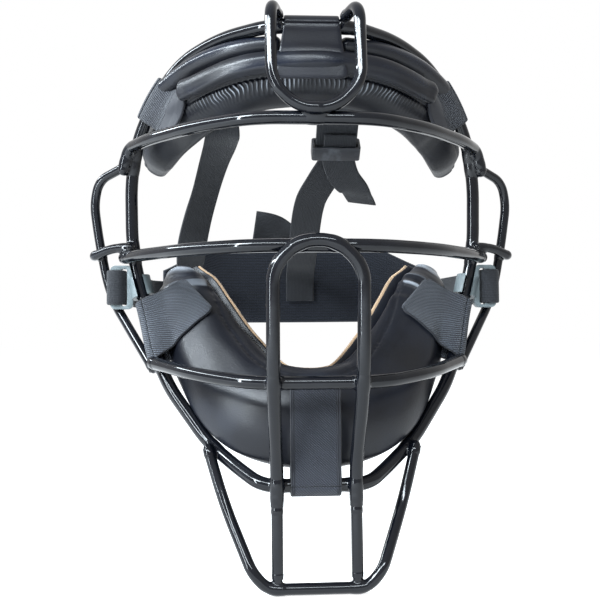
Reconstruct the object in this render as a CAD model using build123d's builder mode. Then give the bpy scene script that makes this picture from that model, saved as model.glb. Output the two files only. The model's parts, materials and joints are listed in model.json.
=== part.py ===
from build123d import *
import math
import os

# Wire face guard for ball sports: a welded wire cage with a visor loop, ear guards and a throat
# extension, a forehead pad and a chin pad held on by wrap-round tabs, and a strap harness.
# Millimetres. +Z is up, the front faces -Y, +X is to the right as seen from the front.
# The origin is the middle of the face opening, in the plane of the temples.

os.makedirs("parts", exist_ok=True)

# Wires, the depth to which two of them melt into each other, and how they are bent
hoop_wire = 7.0
bar_wire = 6.6
light_wire = 5.8
ear_wire = 5.2
weld_sink = 0.8
bend_share = 0.45
end_round_share = 0.8

# Hoop, the outer frame: half its width, its height above and drop below the origin, and how far
# its top and its chin reach forward of the temples
hoop_half_width = 96.5
hoop_top = 137.0
hoop_drop = 93.0
hoop_top_reach = 58.0
hoop_chin_reach = 62.0
# Shares of the half width, of the reach and of the height, from the top centre down to the temple
hoop_upper_shares = [
    (0.0, 1.0, 1.0),
    (0.22, 1.0, 1.0),
    (0.48, 0.64, 1.0),
    (0.70, 0.29, 0.953),
    (0.86, 0.14, 0.82),
    (0.965, 0.05, 0.655),
    (1.005, 0.0, 0.49),
]
# The same from the temple down to the chin centre; a negative height share is above the origin
hoop_lower_shares = [
    (0.998, 0.0, -0.28),
    (0.896, 0.10, 0.10),
    (0.85, 0.24, 0.31),
    (0.772, 0.37, 0.495),
    (0.55, 0.61, 0.80),
    (0.39, 0.81, 0.925),
    (0.27, 1.0, 1.0),
    (0.0, 1.0, 1.0),
]

# Cross bars: height at the middle, rise to the ends, reach of the middle, half the straight run,
# the height at which the end meets the hoop and how many degrees forward of its side; the brow
# bar's ends meet it a drop below the bar
bar_flat_half = 30.0
brow_height = 84.0
brow_reach = 84.0
brow_rise = 1.5
brow_hook_out = 8.0
brow_hook_reach = 5.0
brow_weld_drop = 11.0
brow_weld_lean = 35.0
eye_height = 23.0
eye_reach = 84.0
eye_rise = 1.5
eye_weld_lean = 20.0
mouth_height = -42.0
mouth_reach = 80.0
mouth_rise = 9.0
mouth_weld_lean = 55.0
# Shoulders of the bars, as shares of the end's half width, of the reach and of the rise
brow_shoulder_shares = [(0.60, 0.74, 0.3), (0.87, 0.34, 0.8)]
eye_shoulder_shares = [(0.62, 0.74, 0.2), (0.86, 0.34, 0.7)]
mouth_shoulder_shares = [(0.70, 0.74, 0.4)]

# Centre loop: half width at the arch and at the chin, top of the arch, where its legs turn
loop_half_width = 21.4
loop_chin_half_width = 19.3
loop_arch_top = 25.0
loop_chin_turn = -82.0
loop_tail = 9.0
arch_corner_share = 0.414

# Visor loop over the brow: half width, lowest point above the brow bar, top, lean, landing
visor_half_width = 21.5
visor_top = 141.0
visor_lean = 6.0
visor_landing_half_width = 17.0
visor_landing_lean = 45.0

# Throat extension: where its sides leave the hoop, a point half way, lower corners, bottom bar
throat_start = -76.0
throat_start_lean = 60.0
throat_mid_half_width = 45.0
throat_mid_height = -103.0
throat_mid_reach = 52.0
throat_corner_half_width = 31.5
throat_corner_height = -133.0
throat_bottom_half_width = 24.0
throat_bottom = -141.0
throat_reach = 70.0

# Ear guards: distance out from the hoop and back from the temple plane, heights of the corners
ear_out = 22.5
ear_back = 10.5
ear_top = 76.0
ear_top_lean = -15.0
ear_shoulder = 69.5
ear_upper = 56.0
ear_lower = 36.0
ear_knee = 4.0
ear_foot = -37.0
ear_foot_lean = -25.0
# Shares of the distance out and of the distance back at shoulder, upper, lower and knee corners
ear_corner_shares = [(0.87, 0.8), (1.0, 1.0), (0.88, 1.0), (0.59, 0.8)]
stub_height = 30.0
stub_lean = 80.0
stub_out = 10.5
stub_reach = 1.0
stub_end_height = 26.5
stub_wrap_out = 3.5
stub_wrap_reach = 5.0

# Forehead pad: cover and foam of its cushion, front panel, and a roll on each side of the middle
cover_thickness = 1.8
foam_clearance = 0.3
pad_gap = 0.4
head_centre_back = 70.0
# Room between the hoop and the head, and how far behind the temples the head reaches; pads,
# straps and band follow the head
side_room = 15.5
head_reach = 116.0
brow_pad_width = 31.0
brow_pad_depth = 23.0
# Sections of the pad's right half: shares of the head's half width, of the head's reach, of the
# hoop's top, and of the pad's own size
brow_out_shares = [0.0, 0.333, 0.617, 0.827, 0.951, 1.0]
brow_back_shares = [-0.302, -0.259, -0.121, 0.06, 0.19, 0.25]
brow_up_shares = [0.839, 0.828, 0.781, 0.708, 0.631, 0.577]
brow_pad_shares = [1.0, 1.03, 1.06, 0.91, 0.82, 0.46]
brow_panel_width = 13.0
brow_panel_depth = 4.5
brow_panel_shift = 3.5
brow_roll_width = 6.6
brow_roll_depth = 6.8
brow_roll_shift = 16.8
brow_roll_front = 16.2
# Sections of the roll's right half, between those of the pad, in the same shares
roll_out_shares = [0.191, 0.333, 0.494, 0.617]
roll_back_shares = [-0.284, -0.254, -0.184, -0.116]
roll_up_shares = [0.826, 0.823, 0.813, 0.793]

# Chin pad: cover and foam of its cushion, and a lining behind it
chin_pad_width = 51.0
chin_pad_depth = 27.0
chin_lining_thickness = 2.4
chin_lining_lip = 3.5
chin_centre_back = 60.0
chin_centre_drop = 99.0
# Sections of the pad's right half, in the same shares but for the height, a share of the drop
chin_out_shares = [0.0, 0.333, 0.58, 0.741, 0.827, 0.864]
chin_back_shares = [-0.336, -0.267, -0.112, 0.017, 0.095, 0.134]
chin_up_shares = [-0.677, -0.613, -0.366, -0.097, 0.075, 0.183]
chin_pad_shares = [1.0, 0.97, 0.85, 0.70, 0.58, 0.32]

# Cushion section shares: width of the flat back, height of the drawn-in shoulders, bulge of the
# sides and of the crown, and how far the ridge stands from the middle
back_share = 0.72
shoulder_share = 0.46
side_bulge_share = 0.16
crown_bulge_share = 0.14
brow_ridge_share = 0.05
chin_ridge_share = -0.35

# Wrap-round tabs: a root round the hoop and a flap that opens from it
tab_width = 25.0
tab_thickness = 1.6
tab_clearance = 0.3
fold_gap = 0.1
tab_corner = 3.0
# For each tab: the length of its tail and of its flap, and the way it lies from the hoop. The side
# tabs lie as the pads do, so their ways are written in the pads' shares
brow_tail = 9.0
brow_flap_length = 26.0
brow_lay = (0.0, -0.1, -1.0)
chin_tail = 9.0
chin_flap_length = 46.0
chin_lay = (0.0, -0.02, 1.0)
brow_side_height = 111.0
brow_side_tail = 1.0
brow_side_flap_length = 23.0
brow_side_lay_shares = (-0.63, -0.586, -0.387)
chin_side_height = -14.5
chin_side_width = 31.0
chin_side_tail = 6.0
chin_side_lay_shares = (-1.13, -0.216, 0.226)
# Far corners of the slanting chin side flap: in from the wire, and up along it
chin_side_near_corner = (19.0, 23.0)
chin_side_far_corner = (30.0, 8.0)

# Clips that push on to the hoop and take the side straps
clip_height = 8.0
clip_bore_clearance = 0.5
clip_barrel_wall = 2.4
clip_barrel_length = 11.0
clip_mouth = 5.4
clip_plate_start = 4.2
clip_plate_width = 12.4
clip_plate_height = 24.0
clip_plate_thickness = 5.0
clip_corner = 3.0
clip_recess_border = 2.4
clip_recess_depth = 1.2
clip_slot_width = 3.0
clip_slot_place = 9.0
clip_slot_clearance = 0.8
edge_break = 0.8
overrun = 2.0

# Harness: webbing, the padded band at the back of the head, and what joins them
strap_width = 19.0
strap_thickness = 1.8
strap_turn = 1.6
strap_clearance = 0.4
strap_straight = 34.0
sewn_gap = 0.3
sewn_length = 16.0
sewn_shares = [-0.4, 0.0, 0.25, 0.5, 0.75, 1.0]
band_height = 55.0
band_end_height = 26.0
band_thickness = 2.6
band_middle = 18.0
band_end_middle = 10.0
band_flat_share = 0.617
band_out_shares = [-1.062, -0.617, 0.0, 0.617, 1.062]
band_back_shares = [0.724, 0.931, 1.0, 0.931, 0.724]
# Keeper that holds the crown strap to the top strap, and how steeply the webbing runs through it
keeper_place_shares = (0.241, 0.121, 0.653)
keeper_slope = 42.7
keeper_length = 9.0
keeper_wall = 1.6
keeper_clearance = 0.5
layer_gap = 0.45
# Webbing: each row is a place on its middle line, in shares of the head's half width, of the head's
# reach and of the hoop's top, and the way its face looks there. Lengths along the keeper's own line
# are counted from its middle
top_strap_width = 24.0
top_strap_shares = [
    ((0.205, -0.259, 0.905), (0.17, -0.98, 0.0)),
    ((0.205, -0.259, 0.869), (0.17, -0.98, 0.0)),
    ((0.205, -0.258, 0.832), (0.17, -0.98, -0.05)),
    ((0.209, -0.237, 0.799), (0.12, -0.8, -0.58)),
    ((0.214, -0.194, 0.783), (0.05, -0.32, -0.94)),
    ((0.226, -0.103, 0.775), (0.0, -0.2, -0.98)),
    ((0.238, -0.026, 0.761), (0.0, -0.45, -0.89)),
]
top_strap_lengths = [-14.0, -9.0, -4.0, 1.0, 6.0]
crown_right_lengths = [-14.0, -9.0, -4.0, 1.0, 6.0, 11.0]
crown_right_shares = [
    ((0.173, 0.276, 0.551), (0.0, -0.66, -0.75)),
    ((0.086, 0.397, 0.464), (0.0, -0.66, -0.75)),
    ((0.057, 0.603, 0.31), (0.0, -0.58, -0.81)),
    ((0.056, 0.793, 0.223), (0.0, -0.43, -0.9)),
    ((0.056, 0.909, 0.18), (0.0, -0.55, -0.84)),
    ((0.056, 0.959, 0.139), (0.0, -0.93, -0.36)),
    ((0.056, 0.968, 0.088), (0.0, -1.0, 0.0)),
    ((0.056, 0.968, 0.036), (0.0, -1.0, 0.0)),
]
crown_left_shares = [
    ((-0.551, -0.126, 0.825), (-0.66, -0.75, 0.0)),
    ((-0.551, -0.126, 0.781), (-0.66, -0.75, 0.0)),
    ((-0.546, -0.119, 0.737), (-0.66, -0.75, -0.05)),
    ((-0.551, -0.091, 0.698), (-0.45, -0.68, -0.58)),
    ((-0.568, -0.034, 0.676), (-0.15, -0.45, -0.88)),
    ((-0.593, 0.078, 0.65), (0.05, -0.35, -0.93)),
    ((-0.642, 0.216, 0.595), (0.3, -0.45, -0.85)),
    ((-0.704, 0.345, 0.504), (0.45, -0.62, -0.64)),
    ((-0.765, 0.44, 0.398), (0.4, -0.75, -0.53)),
    ((-0.821, 0.552, 0.281), (0.25, -0.72, -0.64)),
    ((-0.843, 0.69, 0.208), (0.35, -0.5, -0.8)),
    ((-0.851, 0.767, 0.164), (0.55, -0.73, -0.42)),
    ((-0.852, 0.781, 0.113), (0.61, -0.79, 0.0)),
    ((-0.852, 0.781, 0.062), (0.61, -0.79, 0.0)),
]
tail_lengths = [-12.0, -8.0, -4.0, 1.0, 6.0]
tail_aside = 2.0
tail_end_shares = [
    ((0.315, 0.22, 0.553), (-0.15, -0.67, -0.73)),
    ((0.399, 0.289, 0.507), (-0.32, -0.7, -0.64)),
    ((0.444, 0.362, 0.486), (-0.45, -0.74, -0.5)),
    ((0.488, 0.427, 0.461), (-0.52, -0.75, -0.41)),
]
strap_tab_shares = [
    ((0.148, 0.618, 0.328), (0.0, -0.58, -0.81)),
    ((0.049, 0.618, 0.328), (0.0, -0.58, -0.81)),
    ((-0.062, 0.619, 0.336), (0.02, -0.63, -0.78)),
    ((-0.185, 0.621, 0.366), (0.1, -0.85, -0.52)),
    ((-0.333, 0.621, 0.38), (0.0, -1.0, -0.1)),
]

def write_piece(piece, name):
    """Label a finished part and write it to its own file."""
    piece.part.label = name
    export_step(piece.part, f"parts/{name}.step")


def scaled(shares, size):
    """Turn a list of shares into lengths."""
    return [share * size for share in shares]


def strap_place(shares):
    """Turn a row of shares into a place on the harness."""
    out_share, back_share_here, up_share = shares
    return (out_share * head_half_width, back_share_here * head_reach, up_share * hoop_top)


def strap_rows(share_rows):
    """Turn rows of shares into places on the harness, each with the way its face looks."""
    return [(strap_place(shares), facing) for shares, facing in share_rows]


def from_shares(share_rows, reach, height):
    """Turn rows of shares into points of the right half of the hoop."""
    return [
        (x_share * hoop_half_width, -y_share * reach, z_share * height)
        for x_share, y_share, z_share in share_rows
    ]


def bend_radii(points, mirrored=False):
    """Give each corner the largest bend that its two runs allow; mirrored doubles the first run."""
    radii = []
    for place, corner in enumerate(points[1:-1], start=1):
        run_in = Vector(*corner) - Vector(*points[place - 1])
        run_out = Vector(*points[place + 1]) - Vector(*corner)
        half_turn = math.radians(run_in.get_angle(run_out)) / 2
        length_in = run_in.length * 2 if mirrored and place == 1 else run_in.length
        radii.append(bend_share * min(length_in, run_out.length) / math.tan(half_turn))
    return radii


def wire_run(points, diameter, free_ends, mirrored=False):
    """Sweep a round wire through the points in the open part and round off its free ends."""
    with BuildLine() as route:
        FilletPolyline(*points, radius=bend_radii(points, mirrored))
    with BuildSketch(Plane(origin=route.line @ 0, z_dir=route.line % 0)) as section:
        Circle(diameter / 2)
    sweep(section.sketch, route.line)
    for end in free_ends:
        cap = faces().sort_by_distance(end)[0]
        fillet(cap.edges(), end_round_share * diameter / 2)


hoop_points = from_shares(hoop_upper_shares, hoop_top_reach, hoop_top)
hoop_points += from_shares(hoop_lower_shares, hoop_chin_reach, -hoop_drop)
with BuildLine() as hoop_route:
    FilletPolyline(*hoop_points, radius=bend_radii(hoop_points))
hoop_samples = 2000
hoop_length = sum(run.length for run in hoop_route.edges())
hoop_trail = [hoop_route.line @ (step / hoop_samples) for step in range(hoop_samples + 1)]


def hoop_at(height):
    """Find where the right side of the hoop passes a height."""
    return min(hoop_trail, key=lambda place: abs(place.Z - height))


def hoop_direction(height):
    """Give the hoop's direction, downwards, where its right side passes a height."""
    step = hoop_trail.index(hoop_at(height))
    return (hoop_trail[step + 1] - hoop_trail[step - 1]).normalized()


def beside_hoop(height, wire, lean):
    """Place a wire against the right side of the hoop, lean degrees forward of straight out."""
    touch = hoop_at(height)
    apart = (hoop_wire + wire) / 2 - weld_sink
    angle = math.radians(lean)
    return (touch.X + apart * math.cos(angle), touch.Y - apart * math.sin(angle), height)


def bar_points(height, reach, rise, shoulder_shares, end):
    """Lay out the right half of a cross bar from its middle to its end on the hoop."""
    points = [(0, -reach, height), (bar_flat_half, -reach, height)]
    for out_share, reach_share, rise_share in shoulder_shares:
        points.append((out_share * end[0], -reach_share * reach, height + rise_share * rise))
    return points + [end]


def sided(points, side):
    """Put the points of the right side on the side asked for."""
    return [(side * x, y, z) for x, y, z in points]


def square_plane(place, along, facing):
    """Make a plane across a direction, with X turned as near to the facing as that allows."""
    along = along.normalized()
    across = (facing - along * facing.dot(along)).normalized()
    return Plane(origin=place, x_dir=across, z_dir=along)


def planes_along(places, facings):
    """Make a plane at each place, across the line that runs through them."""
    last = len(places) - 1
    planes = []
    for spot, place in enumerate(places):
        along = places[min(spot + 1, last)] - places[max(spot - 1, 0)]
        planes.append(square_plane(place, along, facings[spot]))
    return planes


def both_halves(outs, backs, ups):
    """Join the places of the right half to their mirror images, from the left tip to the right."""
    right = [Vector(*place) for place in zip(outs, backs, ups)]
    left = [Vector(-place.X, place.Y, place.Z) for place in right[:0:-1]]
    return left + right


def bulged(start, end, share):
    """Draw an arc that stands a share of its chord to the left of it."""
    chord = Vector(*end) - Vector(*start)
    middle = Vector(*start) + chord / 2 + Vector(-chord.Y, chord.X) * share
    ThreePointArc(start, middle, end)


def cushion_section(plane, width, depth, ridge_share, inset=0.0, front=0.0, shift=0.0):
    """Draw a section of a cushion on the plane: flat back, drawn-in sides and a crown in front."""
    half = width / 2 - inset
    back = front + inset
    crown = front + depth - inset
    shoulder = back + shoulder_share * (crown - back)
    low_back = (back, shift - back_share * half)
    high_back = (back, shift + back_share * half)
    low_side = (shoulder, shift - half)
    high_side = (shoulder, shift + half)
    ridge = (crown, shift + ridge_share * half)
    with BuildSketch(plane) as section:
        with BuildLine():
            Line(low_back, high_back)
            bulged(high_back, high_side, side_bulge_share)
            bulged(high_side, ridge, crown_bulge_share)
            bulged(ridge, low_side, crown_bulge_share)
            bulged(low_side, low_back, side_bulge_share)
        make_face()
    return section.sketch


def cushion_loft(planes, sizes, width, depth, ridge_share, inset=0.0):
    """Give the sections of a pad whose size runs along its length by the shares in sizes."""
    return [
        cushion_section(plane, size * width, size * depth, ridge_share, inset)
        for plane, size in zip(planes, sizes)
    ]


def tab_frame(origin, along, lay):
    """Frame of a tab: X is the way its flap lies, Y faces the front and Z runs along the hoop."""
    frame = square_plane(origin, along, Vector(*lay))
    if frame.y_dir.Y > 0:
        frame = square_plane(origin, -along, Vector(*lay))
    return frame


def bent_tab_frame(height, width, lay):
    """Frame of a tab round the bent right side of the hoop, and how far the hoop strays from it."""
    half = width / 2 / hoop_length
    share = hoop_trail.index(hoop_at(height)) / hoop_samples
    before = hoop_route.line @ (share - half)
    after = hoop_route.line @ (share + half)
    middle = hoop_route.line @ share
    stray = (middle - (before + after) / 2) / 2
    return tab_frame(middle - stray, after - before, lay), stray.length


def tab_root(frame, bore, width, tail):
    """Wrap the fixed part of a tab round the hoop, with a tail that goes into the pad's seam."""
    outer = bore + tab_thickness
    with BuildSketch(frame) as profile:
        with BuildLine():
            ThreePointArc((0, bore), (-bore, 0), (0, -bore))
            Line((0, -bore), (tail, -bore))
            Line((tail, -bore), (tail, -outer))
            Line((tail, -outer), (0, -outer))
            ThreePointArc((0, -outer), (-outer, 0), (0, outer))
            Line((0, outer), (0, bore))
        make_face()
    extrude(profile.sketch, amount=width / 2, both=True)


def tab_flap(frame, bore, corners):
    """Lay the opening part of a tab in front of the pad; its corners are in and up from the fold."""
    floor = frame.origin + frame.y_dir * bore
    with BuildSketch(Plane(origin=floor, x_dir=frame.x_dir, z_dir=frame.y_dir)) as outline:
        with BuildLine():
            Polyline(*corners, close=True)
        make_face()
        fillet(outline.vertices().sort_by(Axis(frame.origin, frame.x_dir))[-2:], tab_corner)
    extrude(outline.sketch, amount=tab_thickness)


def ribbon(rows, width):
    """Loft a strap of webbing through rows of places and the way its face looks there."""
    places = [Vector(*place) for place, facing in rows]
    facings = [Vector(*facing) for place, facing in rows]
    sections = []
    for plane in planes_along(places, facings):
        with BuildSketch(plane) as section:
            Rectangle(strap_thickness, width)
        sections.append(section.sketch)
    loft(sections)


sides = [(-1, "left"), (1, "right")]

# Hoop
with BuildPart() as hoop:
    with BuildLine():
        FilletPolyline(*hoop_points, radius=bend_radii(hoop_points))
    with BuildSketch(Plane(origin=hoop_points[0], z_dir=(1, 0, 0))):
        Circle(hoop_wire / 2)
    sweep()
    mirror(about=Plane.YZ)
write_piece(hoop, "hoop")

# Brow bar, whose ends hook back and down on to the hoop
brow_end = beside_hoop(brow_height - brow_weld_drop, bar_wire, brow_weld_lean)
brow_hook = (
    hoop_half_width - hoop_wire + brow_hook_out,
    -brow_hook_reach,
    brow_height + brow_rise,
)
brow_points = bar_points(brow_height, brow_reach, brow_rise, brow_shoulder_shares, brow_hook)
brow_points.append(brow_end)
with BuildPart() as brow_bar:
    wire_run(brow_points, bar_wire, [brow_end])
    mirror(about=Plane.YZ)
write_piece(brow_bar, "brow_bar")

# Eye bar
eye_end = beside_hoop(eye_height + eye_rise, bar_wire, eye_weld_lean)
eye_points = bar_points(eye_height, eye_reach, eye_rise, eye_shoulder_shares, eye_end)
with BuildPart() as eye_bar:
    wire_run(eye_points, bar_wire, [eye_end])
    mirror(about=Plane.YZ)
write_piece(eye_bar, "eye_bar")

# Mouth bar
mouth_end = beside_hoop(mouth_height + mouth_rise, bar_wire, mouth_weld_lean)
mouth_points = bar_points(mouth_height, mouth_reach, mouth_rise, mouth_shoulder_shares, mouth_end)
with BuildPart() as mouth_bar:
    wire_run(mouth_points, bar_wire, [mouth_end])
    mirror(about=Plane.YZ)
write_piece(mouth_bar, "mouth_bar")

# Centre loop, an arch whose legs run down in front of the bars and past the chin
loop_top_reach = eye_reach + bar_wire - weld_sink
loop_mouth_reach = mouth_reach + bar_wire - weld_sink
loop_chin_reach = hoop_chin_reach + (hoop_wire + bar_wire) / 2 - weld_sink
loop_end = (loop_chin_half_width, -loop_chin_reach, -hoop_drop - loop_tail)
loop_points = [
    (0, -loop_top_reach, loop_arch_top),
    (arch_corner_share * loop_half_width, -loop_top_reach, loop_arch_top),
    (
        loop_half_width,
        -loop_top_reach,
        loop_arch_top - (1 - arch_corner_share) * loop_half_width,
    ),
    (loop_half_width, -loop_mouth_reach, mouth_height),
    (loop_chin_half_width, -loop_chin_reach, loop_chin_turn),
    loop_end,
]
with BuildPart() as centre_loop:
    wire_run(loop_points, bar_wire, [], mirrored=True)
    mirror(about=Plane.YZ)
write_piece(centre_loop, "centre_loop")

# Visor loop, a U in front of the brow bar whose tops turn back on to the hoop
visor_apart = (bar_wire + light_wire) / 2 - weld_sink
visor_landing_apart = (hoop_wire + light_wire) / 2 - weld_sink
visor_slope = math.radians(visor_landing_lean)
visor_reach = brow_reach + visor_apart * math.sin(visor_slope)
visor_bottom = brow_height + visor_apart * math.cos(visor_slope)
visor_end = (
    visor_landing_half_width,
    -hoop_top_reach - visor_landing_apart * math.sin(visor_slope),
    hoop_top + visor_landing_apart * math.cos(visor_slope),
)
visor_points = [
    (0, -visor_reach, visor_bottom),
    (arch_corner_share * visor_half_width, -visor_reach, visor_bottom),
    (
        visor_half_width,
        -visor_reach,
        visor_bottom + (1 - arch_corner_share) * visor_half_width,
    ),
    (visor_half_width, -visor_reach + visor_lean, visor_top),
    visor_end,
]
with BuildPart() as visor_loop:
    wire_run(visor_points, light_wire, [visor_end], mirrored=True)
    mirror(about=Plane.YZ)
write_piece(visor_loop, "visor_loop")

# Throat extension: a V-sided frame below the chin
throat_end = beside_hoop(throat_start, light_wire, throat_start_lean)
throat_points = [
    (0, -throat_reach, throat_bottom),
    (throat_bottom_half_width, -throat_reach, throat_bottom),
    (throat_corner_half_width, -throat_reach, throat_corner_height),
    (throat_mid_half_width, -throat_mid_reach, throat_mid_height),
    throat_end,
]
with BuildPart() as throat_frame:
    wire_run(throat_points, light_wire, [throat_end], mirrored=True)
    mirror(about=Plane.YZ)
write_piece(throat_frame, "throat_frame")

# Throat posts, from the ends of the centre loop down to the bottom bar
post_foot_height = throat_bottom + light_wire - weld_sink
for side, side_name in sides:
    post_top = Vector(side * loop_end[0], loop_end[1], loop_end[2] + weld_sink)
    post_foot = Vector(side * loop_end[0], -throat_reach, post_foot_height)
    with BuildPart() as throat_post:
        with BuildLine() as post_route:
            Line(post_top, post_foot)
        with BuildSketch(Plane(origin=post_top, z_dir=post_foot - post_top)):
            Circle(light_wire / 2)
        sweep(path=post_route.line)
    write_piece(throat_post, f"throat_post_{side_name}")

# Ear guards
ear_heights = [ear_shoulder, ear_upper, ear_lower, ear_knee]
ear_points = [beside_hoop(ear_top, ear_wire, ear_top_lean)]
for (out_share, back_share_here), height in zip(ear_corner_shares, ear_heights):
    ear_points.append((hoop_half_width + out_share * ear_out, back_share_here * ear_back, height))
ear_points.append(beside_hoop(ear_foot, ear_wire, ear_foot_lean))
for side, side_name in sides:
    ear_run = sided(ear_points, side)
    with BuildPart() as ear_guard:
        wire_run(ear_run, ear_wire, [ear_run[0], ear_run[-1]])
    write_piece(ear_guard, f"ear_guard_{side_name}")

# Ear stubs, short wires from the hoop out to the ear guards
lower_corner = Vector(*ear_points[3])
knee_corner = Vector(*ear_points[4])
stub_share = (ear_lower - stub_end_height) / (ear_lower - ear_knee)
ear_touch = lower_corner + (knee_corner - lower_corner) * stub_share
stub_points = [
    beside_hoop(stub_height, ear_wire, stub_lean),
    (hoop_half_width + stub_out, -stub_reach, stub_height),
    (ear_touch.X + stub_wrap_out, ear_touch.Y - stub_wrap_reach, ear_touch.Z),
    (ear_touch.X + ear_wire - weld_sink, ear_touch.Y, ear_touch.Z),
]
for side, side_name in sides:
    stub_run = sided(stub_points, side)
    with BuildPart() as ear_stub:
        wire_run(stub_run, ear_wire, [stub_run[0], stub_run[-1]])
    write_piece(ear_stub, f"ear_stub_{side_name}")

# Forehead pad: a hollow cushion cover and the foam that fills it
head_half_width = hoop_half_width - side_room
brow_outs = scaled(brow_out_shares, head_half_width)
brow_backs = scaled(brow_back_shares, head_reach)
brow_places = both_halves(brow_outs, brow_backs, scaled(brow_up_shares, hoop_top))
brow_sizes = brow_pad_shares[:0:-1] + brow_pad_shares
brow_facings = [Vector(place.X, place.Y - head_centre_back, 0) for place in brow_places]
brow_planes = planes_along(brow_places, brow_facings)
brow_shape = (brow_pad_width, brow_pad_depth, brow_ridge_share)
foam_inset = cover_thickness + foam_clearance
with BuildPart() as brow_cushion:
    loft(cushion_loft(brow_planes, brow_sizes, *brow_shape))
    inner = cushion_loft(brow_planes[1:-1], brow_sizes[1:-1], *brow_shape, cover_thickness)
    loft(inner, mode=Mode.SUBTRACT)
write_piece(brow_cushion, "brow_cushion")

with BuildPart() as brow_foam:
    loft(cushion_loft(brow_planes[1:-1], brow_sizes[1:-1], *brow_shape, foam_inset))
write_piece(brow_foam, "brow_foam")

# Front panel, a flatter pad over the upper part of the cushion
panel_sections = []
for plane, size in zip(brow_planes[3:-3], brow_sizes[3:-3]):
    panel_sections.append(
        cushion_section(
            plane,
            size * brow_panel_width,
            brow_panel_depth,
            brow_ridge_share,
            front=size * brow_pad_depth + pad_gap,
            shift=-size * brow_panel_shift,
        )
    )
with BuildPart() as brow_panel:
    loft(panel_sections)
write_piece(brow_panel, "brow_panel")

# Rolls above the panel, one on each side of the centre tab
roll_outs = scaled(roll_out_shares, head_half_width)
roll_backs = scaled(roll_back_shares, head_reach)
roll_ups = scaled(roll_up_shares, hoop_top)
roll_places = [Vector(*place) for place in zip(roll_outs, roll_backs, roll_ups)]
roll_facings = [Vector(place.X, place.Y - head_centre_back, 0) for place in roll_places]
roll_sections = []
for plane in planes_along(roll_places, roll_facings):
    roll_sections.append(
        cushion_section(
            plane,
            brow_roll_width,
            brow_roll_depth,
            brow_ridge_share,
            front=brow_roll_front,
            shift=-brow_roll_shift,
        )
    )
for side, side_name in sides:
    with BuildPart() as brow_roll:
        loft(roll_sections)
        if side < 0:
            mirror(about=Plane.YZ, mode=Mode.REPLACE)
    write_piece(brow_roll, f"brow_roll_{side_name}")

# Chin pad: cover, foam and lining
chin_outs = scaled(chin_out_shares, head_half_width)
chin_backs = scaled(chin_back_shares, head_reach)
chin_places = both_halves(chin_outs, chin_backs, scaled(chin_up_shares, hoop_drop))
chin_sizes = chin_pad_shares[:0:-1] + chin_pad_shares
chin_facings = [
    Vector(place.X, place.Y - chin_centre_back, place.Z + chin_centre_drop)
    for place in chin_places
]
chin_planes = planes_along(chin_places, chin_facings)
chin_shape = (chin_pad_width, chin_pad_depth, chin_ridge_share)
with BuildPart() as chin_cushion:
    loft(cushion_loft(chin_planes, chin_sizes, *chin_shape))
    inner = cushion_loft(chin_planes[1:-1], chin_sizes[1:-1], *chin_shape, cover_thickness)
    loft(inner, mode=Mode.SUBTRACT)
write_piece(chin_cushion, "chin_cushion")

with BuildPart() as chin_foam:
    loft(cushion_loft(chin_planes[1:-1], chin_sizes[1:-1], *chin_shape, foam_inset))
write_piece(chin_foam, "chin_foam")

lining_sections = []
for plane, size in zip(chin_planes, chin_sizes):
    half = size * chin_pad_width / 2
    inner_edge = -half - chin_lining_lip
    outer_edge = back_share * half
    lining_front = -foam_clearance
    with BuildSketch(plane) as section:
        with BuildLine():
            Polyline(
                (lining_front, inner_edge),
                (lining_front, outer_edge),
                (lining_front - chin_lining_thickness, outer_edge),
                (lining_front - chin_lining_thickness, inner_edge),
                close=True,
            )
        make_face()
    lining_sections.append(section.sketch)
with BuildPart() as chin_lining:
    loft(lining_sections)
write_piece(chin_lining, "chin_lining")

# Centre tabs of the forehead pad and of the chin pad, round the straight runs of the hoop
tab_bore = hoop_wire / 2 + tab_clearance
half_tab = tab_width / 2
brow_tab_frame = tab_frame(Vector(*hoop_points[0]), Vector(1, 0, 0), brow_lay)
with BuildPart() as brow_tab_root:
    tab_root(brow_tab_frame, tab_bore, tab_width, brow_tail)
write_piece(brow_tab_root, "brow_tab_root_centre")

brow_flap_corners = [
    (fold_gap, -half_tab),
    (fold_gap, half_tab),
    (brow_flap_length, half_tab),
    (brow_flap_length, -half_tab),
]
with BuildPart() as brow_tab_flap:
    tab_flap(brow_tab_frame, tab_bore, brow_flap_corners)
write_piece(brow_tab_flap, "brow_tab_flap_centre")

chin_tab_frame = tab_frame(Vector(*hoop_points[-1]), Vector(1, 0, 0), chin_lay)
with BuildPart() as chin_tab_root:
    tab_root(chin_tab_frame, tab_bore, tab_width, chin_tail)
write_piece(chin_tab_root, "chin_tab_root_centre")

chin_flap_corners = [
    (fold_gap, -half_tab),
    (fold_gap, half_tab),
    (chin_flap_length, half_tab),
    (chin_flap_length, -half_tab),
]
with BuildPart() as chin_tab_flap:
    tab_flap(chin_tab_frame, tab_bore, chin_flap_corners)
write_piece(chin_tab_flap, "chin_tab_flap_centre")

# Side tabs, round the bent sides of the hoop
brow_side_frame, brow_side_stray = bent_tab_frame(
    brow_side_height, tab_width, strap_place(brow_side_lay_shares)
)
chin_side_frame, chin_side_stray = bent_tab_frame(
    chin_side_height, chin_side_width, strap_place(chin_side_lay_shares)
)
brow_side_corners = [
    (fold_gap, -half_tab),
    (fold_gap, half_tab),
    (brow_side_flap_length, half_tab),
    (brow_side_flap_length, -half_tab),
]
# Seen along the flap's own plane, up is the second number's negative
chin_side_corners = [
    (fold_gap, chin_side_width / 2),
    (fold_gap, -chin_side_width / 2),
    (chin_side_near_corner[0], -chin_side_near_corner[1]),
    (chin_side_far_corner[0], -chin_side_far_corner[1]),
]
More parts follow.
